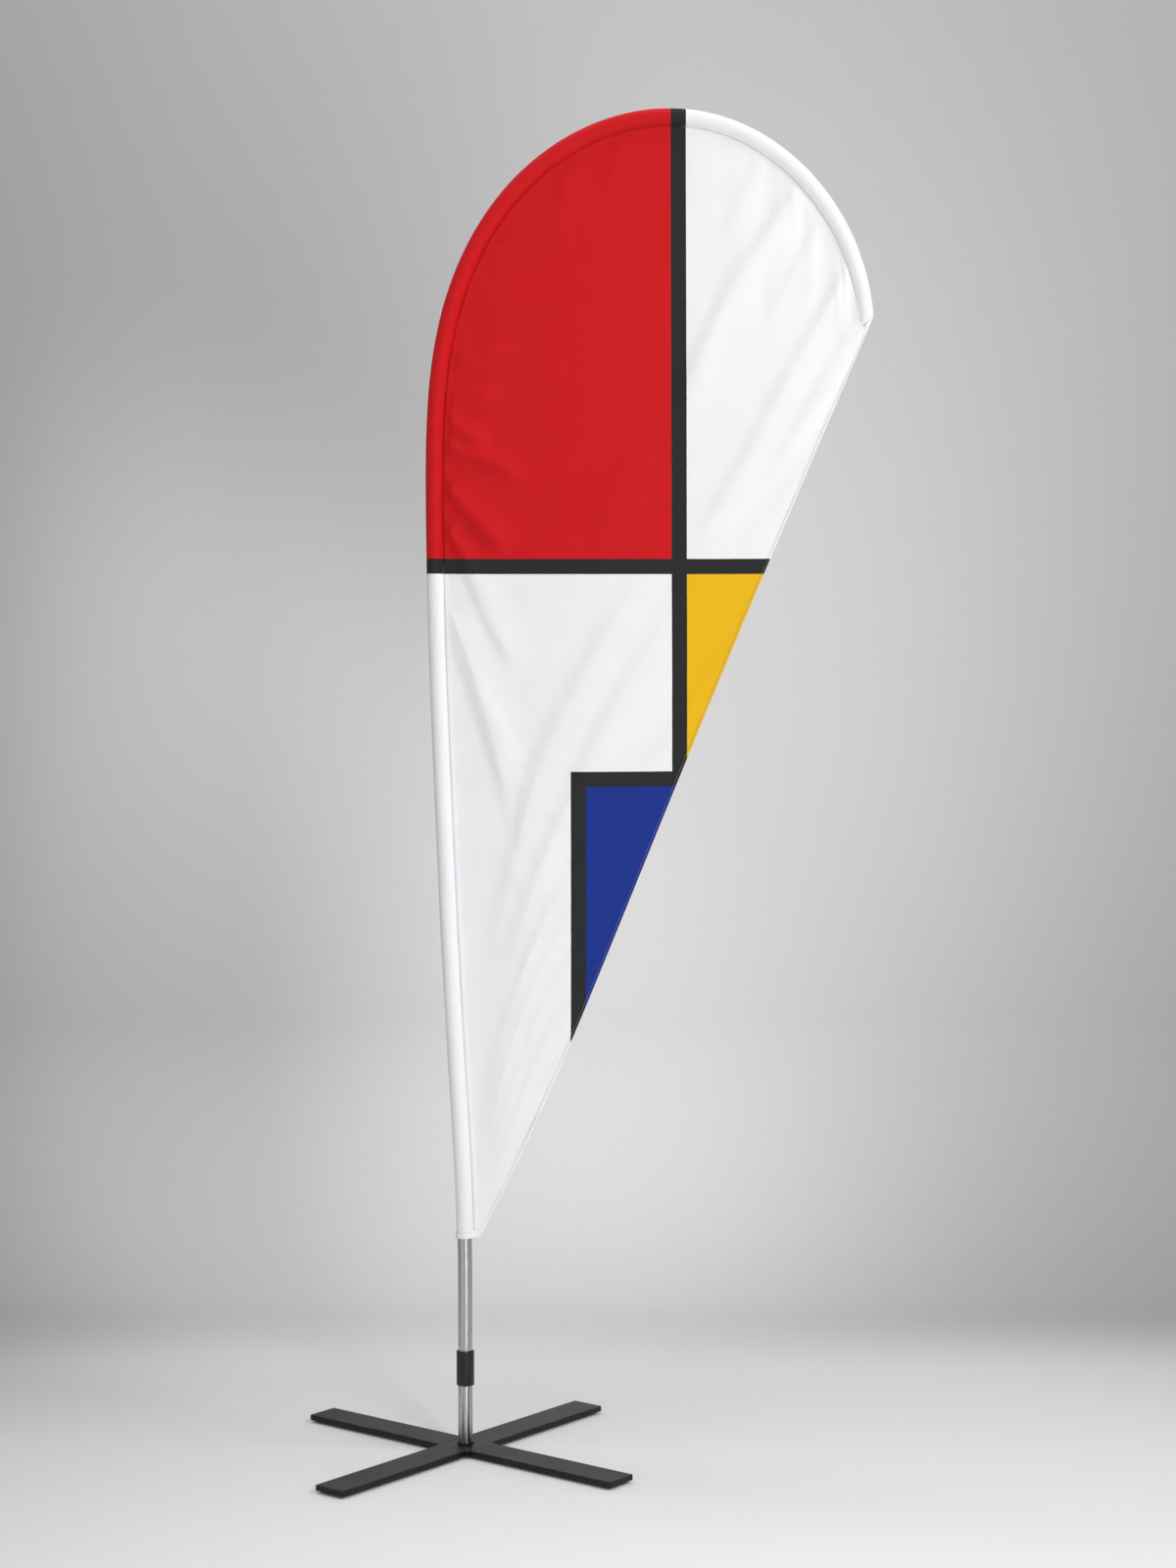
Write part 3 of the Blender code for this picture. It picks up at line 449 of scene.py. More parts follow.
def circle_round_pole(length, radius, sides):
    """Return the points of a circle round the pole's centre line."""
    turns = [2 * math.pi * side / sides for side in range(sides)]
    return [beside_pole(length, radius * math.cos(turn), radius * math.sin(turn)) for turn in turns]


lengths = np.linspace(0.0, SECTION_LENGTH, 25)
shape = sweep_loop([circle_round_pole(length, POLE_RADIUS, 64) for length in lengths])
lower_pole = finish_mesh("polished_lower_pole", shape, polished_steel)
wall = lower_pole.modifiers.new("wall", "SOLIDIFY")
wall.thickness = POLE_RADIUS - POLE_BORE_RADIUS
wall.offset = -1.0
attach(lower_pole, "mast")
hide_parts("pole_section_1")

# ---------------------------------------------------------------- upper pole inside the sleeve
# Three tapering fibreglass sections plug into one another and bend into the arch.  A nylon bush
# fits the first to the steel tube, steel bands close the others' mouths, and a rubber cap ends it.
glass = moulded("pultruded_fibreglass", "#c9c4ac", "#dcd8c6", 0.36)
for name in ("pole_section_2", "pole_section_3", "pole_section_4"):
    dress(name, glass)
dress("reducer_bush", turned_nylon)
band_steel = machined("pressed_band_steel", "#b9babc", "#98999c", 0.25)
for name in ("joint_ring_2", "joint_ring_3"):
    dress(name, band_steel)
dress("tip_cap", rubber("cap_rubber", "#151515"))

# ---------------------------------------------------------------- flag panel
# The panel is one piece of 110 g/m2 polyester flag knit, dye-printed in flat fields of colour with
# black bars.  It is held in the bow like a sail, so pull folds run from the seam and from the foot.
SEAM_INWARD = 0.0148
SLEEVE_END = STRAIGHT_TOP - POLE_FOOT + BENT_LENGTH
SLEEVE_RADIUS = 0.0140
HEM_HEIGHT = 0.377
HEM_BAND = 0.013
FOOT_WIDTH = 0.012
LEADING_BULGE = 0.012
TIP_SLANT = 0.018
TIP_RUN = 0.060
SEAM_TAPER = 0.0046
TAPER_RUN = 0.25
EDGE_INSET = 0.0012
BELLY = 0.016
FULL_WIDTH = 0.72
FOLD_GROWS = 0.40
ROOT_GROWS = 0.08
FOLD_FADES = 0.35
SEAM_FADE = 0.018
EDGE_FADE = 0.045
WELT_HEIGHT = 0.0015
WELT_PLACE = 0.0050
WELT_HALF = 0.0028
PUCKER = 0.0007
PUCKER_REACH = 0.014
EDGE_PUCKER = 0.0004
EDGE_REACH = 0.010
HANG_FRAMES = 12
MOST_HANG = 0.010
HANG_SHARE = 0.3
ROWS = 290
COLUMNS = 116
COLUMN_CROWDING = 1.35
ROW_CROWDING = 0.9
RED = "#cf0f17"
WHITE = "#f4f5f7"
BLACK = "#262827"
YELLOW = "#efbb12"
BLUE = "#14318d"
# The artwork, in metres on the cut cloth: the upright bar leans 3.5 mm in each metre.
UPRIGHT_BAR_X = 0.3725
UPRIGHT_BAR_LEAN = 0.0035
CROSS_BAR_Z = 1.5440
SHELF_BAR_Z = 1.1775
SHORT_BAR_X = 0.1970
HALF_BAR = 0.0131


def length_at_height(height):
    """Return the length up the pole to a height on its rising side."""
    rising = int(np.argmax(TRACE[2]))
    return float(np.interp(height, TRACE[2][:rising], TRACE[0][:rising]))


def flag_knit(name, printed=True):
    """Polyester warp knit: matt with a soft bloom, ribs 1.2 mm apart, drawn twice the real size."""
    material, tree, shader = start_material(name)
    link = tree.links.new

    def maths(operation, first, second=0.0, third=0.0):
        inputs = {0: first, 1: second, 2: third}
        return add_node(tree, "Math", inputs, operation=operation).outputs[0]

    place = add_node(tree, "UVMap", {}, uv_map="print").outputs[0]
    thread = add_node(tree, "UVMap", {}, uv_map="thread").outputs[0]
    axes = add_node(tree, "SeparateXYZ", {0: place}).outputs
    bleed = add_node(tree, "TexNoise", {"Vector": place, "Scale": 220.0, "Detail": 3.0}).outputs[0]
    wander = maths("MULTIPLY_ADD", bleed, 0.0008, -0.0004)
    up = maths("ADD", axes["Y"], wander)
    lean = maths("MULTIPLY_ADD", axes["Y"], UPRIGHT_BAR_LEAN, -UPRIGHT_BAR_LEAN * SHELF_BAR_Z)
    over = maths("ADD", axes["X"], wander)
    leaning = maths("ADD", over, lean)

    def past(value, line):
        """One where the value is past the line, with the ink's edge 0.6 mm soft."""
        return add_node(tree, "MapRange", {0: value, 1: line - 0.0003, 2: line + 0.0003},
                        interpolation_type="SMOOTHSTEP").outputs[0]

    def near(value, line):
        gap = maths("ABSOLUTE", maths("SUBTRACT", value, line))
        return maths("SUBTRACT", 1.0, past(gap, HALF_BAR))

    above_cross = past(up, CROSS_BAR_Z)
    above_shelf = past(up, SHELF_BAR_Z)
    right_of_upright = past(leaning, UPRIGHT_BAR_X)
    right_of_short = past(over, SHORT_BAR_X)
    red = maths("MULTIPLY", above_cross, maths("SUBTRACT", 1.0, right_of_upright))
    below_cross = maths("SUBTRACT", 1.0, above_cross)
    yellow = maths("MULTIPLY", maths("MULTIPLY", below_cross, above_shelf), right_of_upright)
    below_shelf = maths("SUBTRACT", 1.0, above_shelf)
    blue = maths("MULTIPLY", below_shelf, right_of_short)
    upright = maths("MULTIPLY", near(leaning, UPRIGHT_BAR_X), past(up, SHELF_BAR_Z - HALF_BAR))
    shelf = maths("MULTIPLY", near(up, SHELF_BAR_Z), past(over, SHORT_BAR_X - HALF_BAR))
    short = maths("MULTIPLY", near(over, SHORT_BAR_X), maths("SUBTRACT", 1.0, past(up, SHELF_BAR_Z)))
    black = upright
    for bar in (near(up, CROSS_BAR_Z), shelf, short):
        black = maths("MAXIMUM", black, bar)

    ink = add_node(tree, "RGB", {})
    ink.outputs[0].default_value = linear(WHITE)
    colour = ink.outputs[0]
    if printed:
        for mask, shade in ((red, RED), (yellow, YELLOW), (blue, BLUE), (black, BLACK)):
            inked = add_node(tree, "Mix", {0: mask, 6: colour, 7: linear(shade)}, data_type="RGBA")
            colour = inked.outputs[2]
    # Printed colour lies unevenly on a knit: soft clouds, and a lighter thread here and there.
    cloud = add_node(tree, "TexNoise", {"Vector": place, "Scale": 14.0, "Detail": 5.0}).outputs[0]
    fibre = add_node(tree, "Mapping", {"Vector": thread, "Scale": (1400.0, 260.0, 1.0)}).outputs[0]
    fleck = add_node(tree, "TexNoise", {"Vector": fibre, "Scale": 1.0, "Detail": 2.0}).outputs[0]
    light = maths("ADD", maths("MULTIPLY_ADD", cloud, 0.06, 0.965), maths("MULTIPLY", fleck, 0.05))
    light = maths("MINIMUM", light, 1.03)
    worked = add_node(tree, "VectorMath", {0: colour, 3: light}, operation="SCALE").outputs[0]
    link(worked, shader.inputs["Base Color"])
    matt = add_node(tree, "MapRange", {0: fleck, 3: 0.62, 4: 0.86}).outputs[0]
    link(matt, shader.inputs["Roughness"])
    shader.inputs["Specular IOR Level"].default_value = 0.25
    shader.inputs["Sheen Weight"].default_value = 0.10
    shader.inputs["Sheen Roughness"].default_value = 0.40
    shader.inputs["Sheen Tint"].default_value = (1.0, 1.0, 1.0, 1.0)
    ribs = add_node(tree, "TexWave", {
        "Vector": thread, "Scale": 260.0, "Distortion": 0.8, "Detail": 1.0}, bands_direction="X").outputs[0]
    courses = add_node(tree, "TexWave", {
        "Vector": thread, "Scale": 320.0, "Distortion": 0.8, "Detail": 1.0}, bands_direction="Y").outputs[0]
    knit = maths("MULTIPLY", ribs, courses)
    bump = add_node(tree, "Bump", {"Height": knit, "Strength": 0.16, "Distance": 0.0003})
    link(bump.outputs[0], shader.inputs["Normal"])
    return material


printed_knit = flag_knit("printed_polyester_knit")

foot_outer = Vector((SLEEVE_RADIUS + FOOT_WIDTH, 0.0, HEM_HEIGHT))
tip_outer = beside_pole(SLEEVE_END, -SLEEVE_RADIUS)


def leading_edge(count, inset=0.0):
    """Return points up the free edge from the foot to the tip, moved inward from it."""
    down = (foot_outer - tip_outer).normalized()
    outward = Vector((-down.z, 0.0, down.x))
    fullest = 4 / 5
    most = fullest ** 4 * (1 - fullest)
    share = np.linspace(0.0, 1.0, 400)
    aside = LEADING_BULGE * share ** 4 * (1 - share) / most - inset
    x = tip_outer.x + (foot_outer.x - tip_outer.x) * share + outward.x * aside
    z = tip_outer.z + (foot_outer.z - tip_outer.z) * share + outward.z * aside
    return resample(np.column_stack((x, z))[::-1], count)


def resample(line, count):
    """Return evenly spaced points along a line of (x, z) points."""
    steps = np.linalg.norm(np.diff(line, axis=0), axis=1)
    along = np.concatenate(([0.0], np.cumsum(steps)))
    marks = np.linspace(0.0, along[-1], count)
    return np.column_stack((np.interp(marks, along, line[:, 0]), np.interp(marks, along, line[:, 1])))


def seam_inward(length):
    """Return how far the seam lies from the pole's centre line: the sleeve narrows towards its tip."""
    near_end = min(max((length - SLEEVE_END + TAPER_RUN) / TAPER_RUN, 0.0), 1.0)
    return SEAM_INWARD - SEAM_TAPER * near_end * near_end


def seam_line(count):
    """Return points up the sleeve's seam from the foot, and across the sleeve's end to the tip."""
    start = length_at_height(HEM_HEIGHT + 0.002)
    points = [beside_pole(length, seam_inward(length))
              for length in np.linspace(start, SLEEVE_END - 0.0005, 900)]
    end = beside_pole(SLEEVE_END + TIP_SLANT + 0.0004, seam_inward(SLEEVE_END))
    tip = beside_pole(SLEEVE_END + 0.0004, -SLEEVE_RADIUS + EDGE_INSET)
    points += [end.lerp(tip, share) for share in np.linspace(0.0, 1.0, 20)]
    return resample(np.array([(point.x, point.z) for point in points]), count)


# Pull folds, as (height, steep side, long side, rooted, points), in metres.  Each is a ridge along its
# points, steep on its left and long on its right.  A rooted one starts at full height, at the seam.
FOLDS = [
    (0.0069, 0.012, 0.030, 1, [(-0.004, 1.554), (0.016, 1.527), (0.04, 1.464), (0.074, 1.397),
        (0.091, 1.346)]),
    (0.0094, 0.013, 0.034, 1, [(-0.023, 1.464), (-0.013, 1.439), (0.013, 1.372), (0.038, 1.287),
        (0.058, 1.211), (0.075, 1.143), (0.089, 1.075)]),
    (0.0091, 0.018, 0.050, 0, [(0.388, 1.658), (0.333, 1.557), (0.262, 1.456), (0.219, 1.372),
        (0.151, 1.253), (0.117, 1.151), (0.095, 1.066), (0.075, 0.981), (0.054, 0.879),
        (0.034, 0.742)]),
    (0.0084, 0.018, 0.045, 0, [(0.498, 1.658), (0.422, 1.557), (0.355, 1.456), (0.304, 1.372),
        (0.245, 1.27), (0.197, 1.168), (0.16, 1.083), (0.122, 0.99), (0.092, 0.896), (0.061, 0.793),
        (0.037, 0.639)]),
    (0.0061, 0.013, 0.026, 0, [(0.274, 1.168), (0.192, 1.019), (0.146, 0.944), (0.104, 0.845),
        (0.069, 0.742), (0.039, 0.605), (0.021, 0.468)]),
    (0.0054, 0.012, 0.022, 0, [(0.282, 1.1), (0.197, 0.967), (0.141, 0.862), (0.097, 0.759),
        (0.063, 0.639), (0.035, 0.519), (0.02, 0.425)]),
    (0.0048, 0.011, 0.020, 0, [(0.265, 0.998), (0.192, 0.882), (0.138, 0.79), (0.102, 0.691),
        (0.069, 0.588), (0.04, 0.485), (0.023, 0.419)]),
    (0.0042, 0.010, 0.018, 0, [(0.235, 0.887), (0.17, 0.773), (0.122, 0.682), (0.085, 0.579),
        (0.044, 0.468), (0.026, 0.413)]),
    (0.0080, 0.015, 0.034, 1, [(0.579, 2.198), (0.55, 2.148), (0.509, 2.091), (0.475, 2.044),
        (0.442, 1.981), (0.411, 1.914), (0.374, 1.826), (0.341, 1.734)]),
    (0.0080, 0.014, 0.034, 1, [(0.673, 2.077), (0.65, 2.027), (0.61, 1.96), (0.568, 1.885),
        (0.526, 1.801), (0.489, 1.729), (0.451, 1.667), (0.409, 1.591), (0.358, 1.507)]),
    (0.0048, 0.011, 0.024, 1, [(0.699, 2.002), (0.672, 1.952), (0.634, 1.885), (0.592, 1.81),
        (0.542, 1.717), (0.491, 1.642)]),
    (0.0035, 0.010, 0.022, 1, [(0.618, 2.148), (0.594, 2.094), (0.558, 2.027), (0.516, 1.952)]),
    (0.0026, 0.010, 0.022, 1, [(0.515, 2.244), (0.486, 2.186), (0.456, 2.128), (0.423, 2.069)]),
    (0.0062, 0.009, 0.020, 1, [(-0.032, 1.89), (0.029, 1.91), (0.096, 1.93)]),
    (0.0068, 0.009, 0.020, 1, [(-0.035, 1.833), (0.012, 1.84), (0.069, 1.847)]),
    (0.0080, 0.009, 0.020, 1, [(-0.035, 1.796), (0.003, 1.773), (0.049, 1.751)]),
    (0.0090, 0.010, 0.024, 1, [(-0.036, 1.751), (0.012, 1.731), (0.072, 1.709), (0.11, 1.689)]),
    (0.0115, 0.011, 0.026, 1, [(-0.032, 1.679), (0.003, 1.645), (0.045, 1.599), (0.082, 1.557)]),
    (0.0098, 0.010, 0.022, 1, [(-0.036, 1.611), (-0.012, 1.583), (0.015, 1.547)]),
    (0.0032, 0.010, 0.022, 1, [(-0.008, 2.001), (0.046, 2.001), (0.117, 1.994)]),
    (0.0032, 0.010, 0.022, 1, [(0.016, 2.074), (0.063, 2.094), (0.117, 2.114)]),
    (0.0024, 0.010, 0.022, 1, [(0.07, 2.154), (0.103, 2.188), (0.13, 2.224)]),
    (0.0027, 0.012, 0.026, 1, [(0.194, 2.254), (0.181, 2.211), (0.157, 2.144), (0.137, 2.077)]),
    (0.0027, 0.012, 0.026, 1, [(0.275, 2.281), (0.258, 2.234), (0.238, 2.174)]),
    (0.0038, 0.022, 0.060, 0, [(0.352, 1.826), (0.302, 1.742), (0.251, 1.642), (0.224, 1.54)]),
]


def fold_height(x, z):
    """Return how far the folds stand forward of the flat cloth, at each point."""
    total = np.zeros_like(x)
    for height, steep, long, rooted, points in FOLDS:
        line = resample(smooth_line(np.array(points)), 240)
        gap = (x[:, None] - line[None, :, 0]) ** 2 + (z[:, None] - line[None, :, 1]) ** 2
        nearest = np.argmin(gap, axis=1)
        run = np.gradient(line, axis=0)
        run /= np.linalg.norm(run, axis=1)[:, None]
        downwards = -1.0 if run[:, 1].mean() < 0 else 1.0
        side = (x - line[nearest, 0]) * run[nearest, 1] - (z - line[nearest, 1]) * run[nearest, 0]
        distance = np.sqrt(gap[np.arange(len(x)), nearest])
        width = np.where(side * downwards < 0, steep, long)
        share = nearest / (len(line) - 1)
        start = share / ROOT_GROWS + 0.3 if rooted else share / FOLD_GROWS
        fade = np.clip(np.minimum(start, (1 - share) / FOLD_FADES), 0.0, 1.0)
        total += height * fade * fade * (3 - 2 * fade) * np.exp(-(distance / width) ** 2)
    return total


def smooth_line(points):
    """Round a line's corners by cutting them twice."""
    for _ in range(2):
        near = points[:-1] * 0.75 + points[1:] * 0.25
        far = points[:-1] * 0.25 + points[1:] * 0.75
        points = np.concatenate((points[:1], np.stack((near, far), axis=1).reshape(-1, 2), points[-1:]))
    return points


def cloth_grid():
    """Return the cloth's flat points, row by row from the foot, with their places across each row."""
    upper = seam_line(ROWS + 1)
    fine = 2000
    lower = leading_edge(fine, inset=EDGE_INSET)
    share = np.linspace(0.0, 1.0, ROWS + 1)
    share += ROW_CROWDING * share * (1 - share) ** 2
    lower = lower[np.clip((share * (fine - 1)).round().astype(int), 0, fine - 1)]
    lower[-1] = (lower[-1] + upper[-1]) / 2
    across = np.linspace(0.0, 1.0, COLUMNS + 1) ** COLUMN_CROWDING
    flat = upper[:, None, :] * (1 - across[None, :, None]) + lower[:, None, :] * across[None, :, None]
    return flat.reshape(-1, 2), np.tile(across, ROWS + 1)


flat, across = cloth_grid()
cells = flat.reshape(ROWS + 1, COLUMNS + 1, 2)
row_width = np.repeat(np.linalg.norm(cells[:, -1] - cells[:, 0], axis=1), COLUMNS + 1)
from_seam = across * row_width
from_edge = (1 - across) * row_width
forward = fold_height(flat[:, 0], flat[:, 1])
near_seam = np.clip(from_seam / np.minimum(SEAM_FADE, row_width * 0.20), 0.0, 1.0)
near_edge = np.clip(from_edge / np.minimum(EDGE_FADE, row_width * 0.25), 0.0, 1.0)
forward *= near_seam ** 0.8 * (0.15 + 0.85 * near_edge * near_edge * (3 - 2 * near_edge))
climb = np.repeat(np.linspace(0.0, 1.0, ROWS + 1), COLUMNS + 1)
belly = np.sin(math.pi * across ** 0.85) * np.sin(math.pi * climb) ** 0.7
forward += BELLY * belly * row_width / FULL_WIDTH
forward += WELT_HEIGHT * np.exp(-((from_seam - WELT_PLACE) / WELT_HALF) ** 2)
chance = np.random.default_rng(7)
row = np.repeat(np.arange(ROWS + 1), COLUMNS + 1)
pucker = np.convolve(chance.normal(0.0, 1.0, ROWS + 9), np.ones(3) / 3, "same")[:ROWS + 1]
held = np.clip(from_seam / 0.003, 0.0, 1.0)
forward += PUCKER * pucker[row] * np.exp(-from_seam / PUCKER_REACH) * held
forward += EDGE_PUCKER * pucker[::-1][row] * np.exp(-from_edge / EDGE_REACH)

shape = bmesh.new()
bmesh.ops.create_grid(shape, x_segments=COLUMNS, y_segments=ROWS, size=1.0)
shape.verts.ensure_lookup_table()
order = sorted(shape.verts, key=lambda v: (round(v.co.y, 6), round(v.co.x, 6)))
for vertex, place, out in zip(order, flat, forward):
    vertex.co = (place[0], -out, place[1])
for number, vertex in enumerate(order):
    vertex.index = number
shape.verts.sort()
shape.faces.ensure_lookup_table()
bmesh.ops.recalc_face_normals(shape, faces=shape.faces)
if shape.faces[len(shape.faces) // 2].normal.y > 0:
    bmesh.ops.reverse_faces(shape, faces=shape.faces)
panel = finish_mesh("printed_flag_panel", shape, printed_knit, 180.0)


def flat_map(piece, prints, threads=None):
    """Give a cloth piece its two maps, in metres: where the print falls, and along the threads."""
    for name, places in (("print", prints), ("thread", prints if threads is None else threads)):
        layer = piece.data.uv_layers.new(name=name)
        corner = np.zeros(len(piece.data.loops), dtype=np.int32)
        piece.data.loops.foreach_get("vertex_index", corner)
        layer.data.foreach_set("uv", np.asarray(places, dtype=np.float32)[corner].ravel())


flat_map(panel, flat)
# The sewn edges hold while the cloth between them is let down under its own weight, and a share
# of that movement is kept.
sewn = np.flatnonzero((across < 0.001) | (across > 0.999) | (row == 0) | (row == ROWS))
panel.vertex_groups.new(name="sewn").add([int(n) for n in sewn], 1.0, "REPLACE")
hang = panel.modifiers.new("hang", "CLOTH")
hang.settings.quality = 5
hang.settings.mass = 0.15
hang.settings.tension_stiffness = 40.0
hang.settings.compression_stiffness = 40.0
hang.settings.shear_stiffness = 20.0
hang.settings.bending_stiffness = 1.0
hang.settings.air_damping = 4.0
hang.settings.vertex_group_mass = "sewn"
hang.collision_settings.use_collision = False
hang.point_cache.frame_start = 1
hang.point_cache.frame_end = HANG_FRAMES
for number in range(1, HANG_FRAMES + 1):
    bpy.context.scene.frame_set(number)
hung = panel.evaluated_get(bpy.context.evaluated_depsgraph_get())
moved = np.zeros(len(panel.data.vertices) * 3)
hung.data.vertices.foreach_get("co", moved)
rest = np.zeros(len(panel.data.vertices) * 3)
panel.data.vertices.foreach_get("co", rest)
shift = (moved - rest).reshape(-1, 3)
panel.modifiers.remove(hang)
panel.vertex_groups.clear()
reach = np.linalg.norm(shift, axis=1)
shift *= HANG_SHARE * np.minimum(1.0, MOST_HANG / np.maximum(reach, 0.000001))[:, None]
panel.data.vertices.foreach_set("co", rest + shift.ravel())
panel.data.update()
bpy.context.scene.frame_set(1)
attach(panel, "mast")
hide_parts("flag_panel")

# ---------------------------------------------------------------- sleeve
# The sleeve is a tube of the same printed knit, folded round the pole and sewn to the panel with a
# pinched flange.  It is snug on the steel tube and lies flatter over the thin top of the pole.
SLEEVE_WALL = 0.0006
FLAT_AT = (0.0, 0.5, 1.0)
FLATNESS = (1.0, 0.70, 0.68)
CLOSED_DEPTH = 0.10
CLOSING_RUN = 0.009
RIPPLE = 0.00022
SEAM_RIPPLE = 0.10
SEAM_RIPPLE_REACH = 0.006
SLEEVE_ROWS = 230


def slanted(length, inward):
    """Return a length moved on towards the slanted end of the sleeve, most on the seam's side."""
    near_end = min(max((length - SLEEVE_END + TIP_RUN) / TIP_RUN, 0.0), 1.0)
    return length + TIP_SLANT * near_end * (inward + SLEEVE_RADIUS) / (seam_inward(length) + SLEEVE_RADIUS)


def closed_share(length):
    """Return how deep the sleeve still is, as it closes over its last few millimetres."""
    closing = min(max((length - SLEEVE_END + CLOSING_RUN) / CLOSING_RUN, 0.0), 1.0)
    return 1 - (1 - CLOSED_DEPTH) * closing * closing


def sleeve_section(length, number):
    """Return the sleeve's points round the pole, starting and ending at the flange."""
    share = max(0.0, length / SLEEVE_END - BEND_AT[3]) / (1 - BEND_AT[3])
    deep = float(np.interp(share, FLAT_AT, FLATNESS))
    points = [(SEAM_INWARD + 0.0002, 0.0007), (0.0139, 0.0020), (0.0126, 0.0046 * deep)]
    for step in range(13):
        turn = math.radians(45 + 135 * step / 12)
        points.append((SLEEVE_RADIUS * math.cos(turn), SLEEVE_RADIUS * math.sin(turn) * deep))
    points += [(inward, -out) for inward, out in points[-2::-1]]
    placed = []
    for index, (inward, out) in enumerate(points):
        ripple = RIPPLE * math.sin(index * 1.7 + 3.1 * math.sin(number * 0.37)) * sleeve_ripple[number]
        near = math.exp(-((SEAM_INWARD - inward) / SEAM_RIPPLE_REACH) ** 2)
        if inward > 0.0:
            inward *= seam_inward(length) / SEAM_INWARD
        out *= 1 + SEAM_RIPPLE * near * sleeve_ripple[number]
        placed.append(beside_pole(slanted(length, inward), inward - abs(ripple) * 0.4,
                                  out * closed_share(length) + ripple * 0.5))
    return placed


chance = np.random.default_rng(11)
sleeve_ripple = np.convolve(chance.normal(0.0, 1.0, SLEEVE_ROWS + 9), np.ones(3) / 2, "same")
sleeve_ripple = sleeve_ripple[:SLEEVE_ROWS + 1]
sleeve_ripple[-1] = 0.0
sleeve_lengths = np.concatenate((
    np.linspace(length_at_height(HEM_HEIGHT + 0.001), SLEEVE_END - 0.012, SLEEVE_ROWS - 3),
    SLEEVE_END - np.array([0.008, 0.004, 0.0015, 0.0])))
sections = [sleeve_section(length, number) for number, length in enumerate(sleeve_lengths)]
sleeve = finish_mesh("printed_sleeve", sweep_loop(sections), printed_knit, 70.0)
loop = sections[0]
girth = np.concatenate(([0.0], np.cumsum([(b - a).length for a, b in zip(loop, loop[1:])])))
places = np.array([(v.co.x, v.co.z) for v in sleeve.data.vertices])
threads = np.array([(girth[i % len(loop)], sleeve_lengths[i // len(loop)])
                    for i in range(len(sleeve.data.vertices))])
flat_map(sleeve, places, threads)
wall = sleeve.modifiers.new("cloth", "SOLIDIFY")
wall.thickness = SLEEVE_WALL
wall.offset = -1.0
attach(sleeve, "mast")
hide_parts("flag_sleeve")

# ---------------------------------------------------------------- tip of the sleeve
# The end of the sleeve is turned in and sewn shut, which makes the pocket that the pole's tip
# pushes against.  Its closed end shows as a small flat cap of the same white knit.
POCKET_CLEAR = 0.0048
pocket_in = SLEEVE_RADIUS - SLEEVE_WALL - POCKET_CLEAR
sections = []
for depth, share in ((0.009, 0.93), (0.006, 1.0), (0.0016, 1.0), (0.0005, 0.96), (0.0, 0.86)):
    ring = []
    for side in range(32):
        turn = 2 * math.pi * side / 32
        inward = pocket_in * share * math.cos(turn)
        out = pocket_in * share * math.sin(turn) * FLATNESS[-1] * 0.92
        out *= closed_share(SLEEVE_END - depth)
        ring.append(beside_pole(slanted(SLEEVE_END - depth, inward) - 0.0004, inward, out))
    sections.append(ring)
pocket = finish_mesh("sewn_tip_pocket", sweep_loop(sections, capped=True), printed_knit)
flat_map(pocket, [(v.co.x, v.co.z) for v in pocket.data.vertices])
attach(pocket, "mast")
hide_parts("tip_pocket")

# ---------------------------------------------------------------- leading hem
# The free edge of the panel is turned over twice, 5 mm wide, and lockstitched near its inner edge.
# It follows the wave of the cloth, and it widens at the tip, where it takes in the sleeve's end.
HEM_WIDTH = 0.005
HEM_HALF = 0.0009
TIP_HEM = 0.005
TIP_HEM_ROWS = 8
TIP_HEM_LIFT = 0.4
HEM_OUT = 0.0011


def hem_section(edge, inward, lift, width):
    """Return the points round a turned-over hem, from its outer fold to its inner edge."""
    front = Vector((0.0, -1.0, 0.0))
    outline = [(-0.0001, 0.0), (0.0004, 0.8), (0.0012, 1.0), (width * 0.45, 1.05), (width * 0.7, 0.72),
               (width * 0.85, 0.95), (width, 0.62), (width + 0.0001, 0.3)]
    outline += [(depth, -height) for depth, height in outline[-1:0:-1]]
    return [edge + inward * depth + front * (height * HEM_HALF * lift) for depth, height in outline]


def place_on_panel(row_number, in_from_seam):
    """Return the cloth's point at a distance in from the seam, on one row of the panel."""
    start = row_number * (COLUMNS + 1)
    spot = COLUMNS * min(max(in_from_seam / row_width[start], 0.0), 1.0) ** (1 / COLUMN_CROWDING)
    column = min(int(spot), COLUMNS - 1)
    one = panel.data.vertices[start + column].co
    return one.lerp(panel.data.vertices[start + column + 1].co, spot - column)


hem_rows = list(range(0, ROWS + 1, 2))
sections = []
for number in hem_rows:
    start = number * (COLUMNS + 1)
    edge = panel.data.vertices[start + COLUMNS].co.copy()
    before = panel.data.vertices[max(number - 1, 0) * (COLUMNS + 1) + COLUMNS].co
    after = panel.data.vertices[min(number + 1, ROWS) * (COLUMNS + 1) + COLUMNS].co
    run = (after - before).normalized()
    inward = Vector((-run.z, 0.0, run.x)).normalized()
    lift = 1.0 + 0.10 * math.sin(number * 2.3) * math.sin(number * 0.71)
    at_tip = max(0.0, 1 - (ROWS - number) / TIP_HEM_ROWS)
    sections.append(hem_section(edge - inward * HEM_OUT, inward, lift + TIP_HEM_LIFT * at_tip,
                                HEM_WIDTH + TIP_HEM * at_tip))
leading_hem = finish_mesh("turned_leading_hem", sweep_loop(sections, capped=True), printed_knit, 50.0)
flat_map(leading_hem, [(v.co.x, v.co.z) for v in leading_hem.data.vertices])
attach(leading_hem, "mast")
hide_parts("leading_hem")

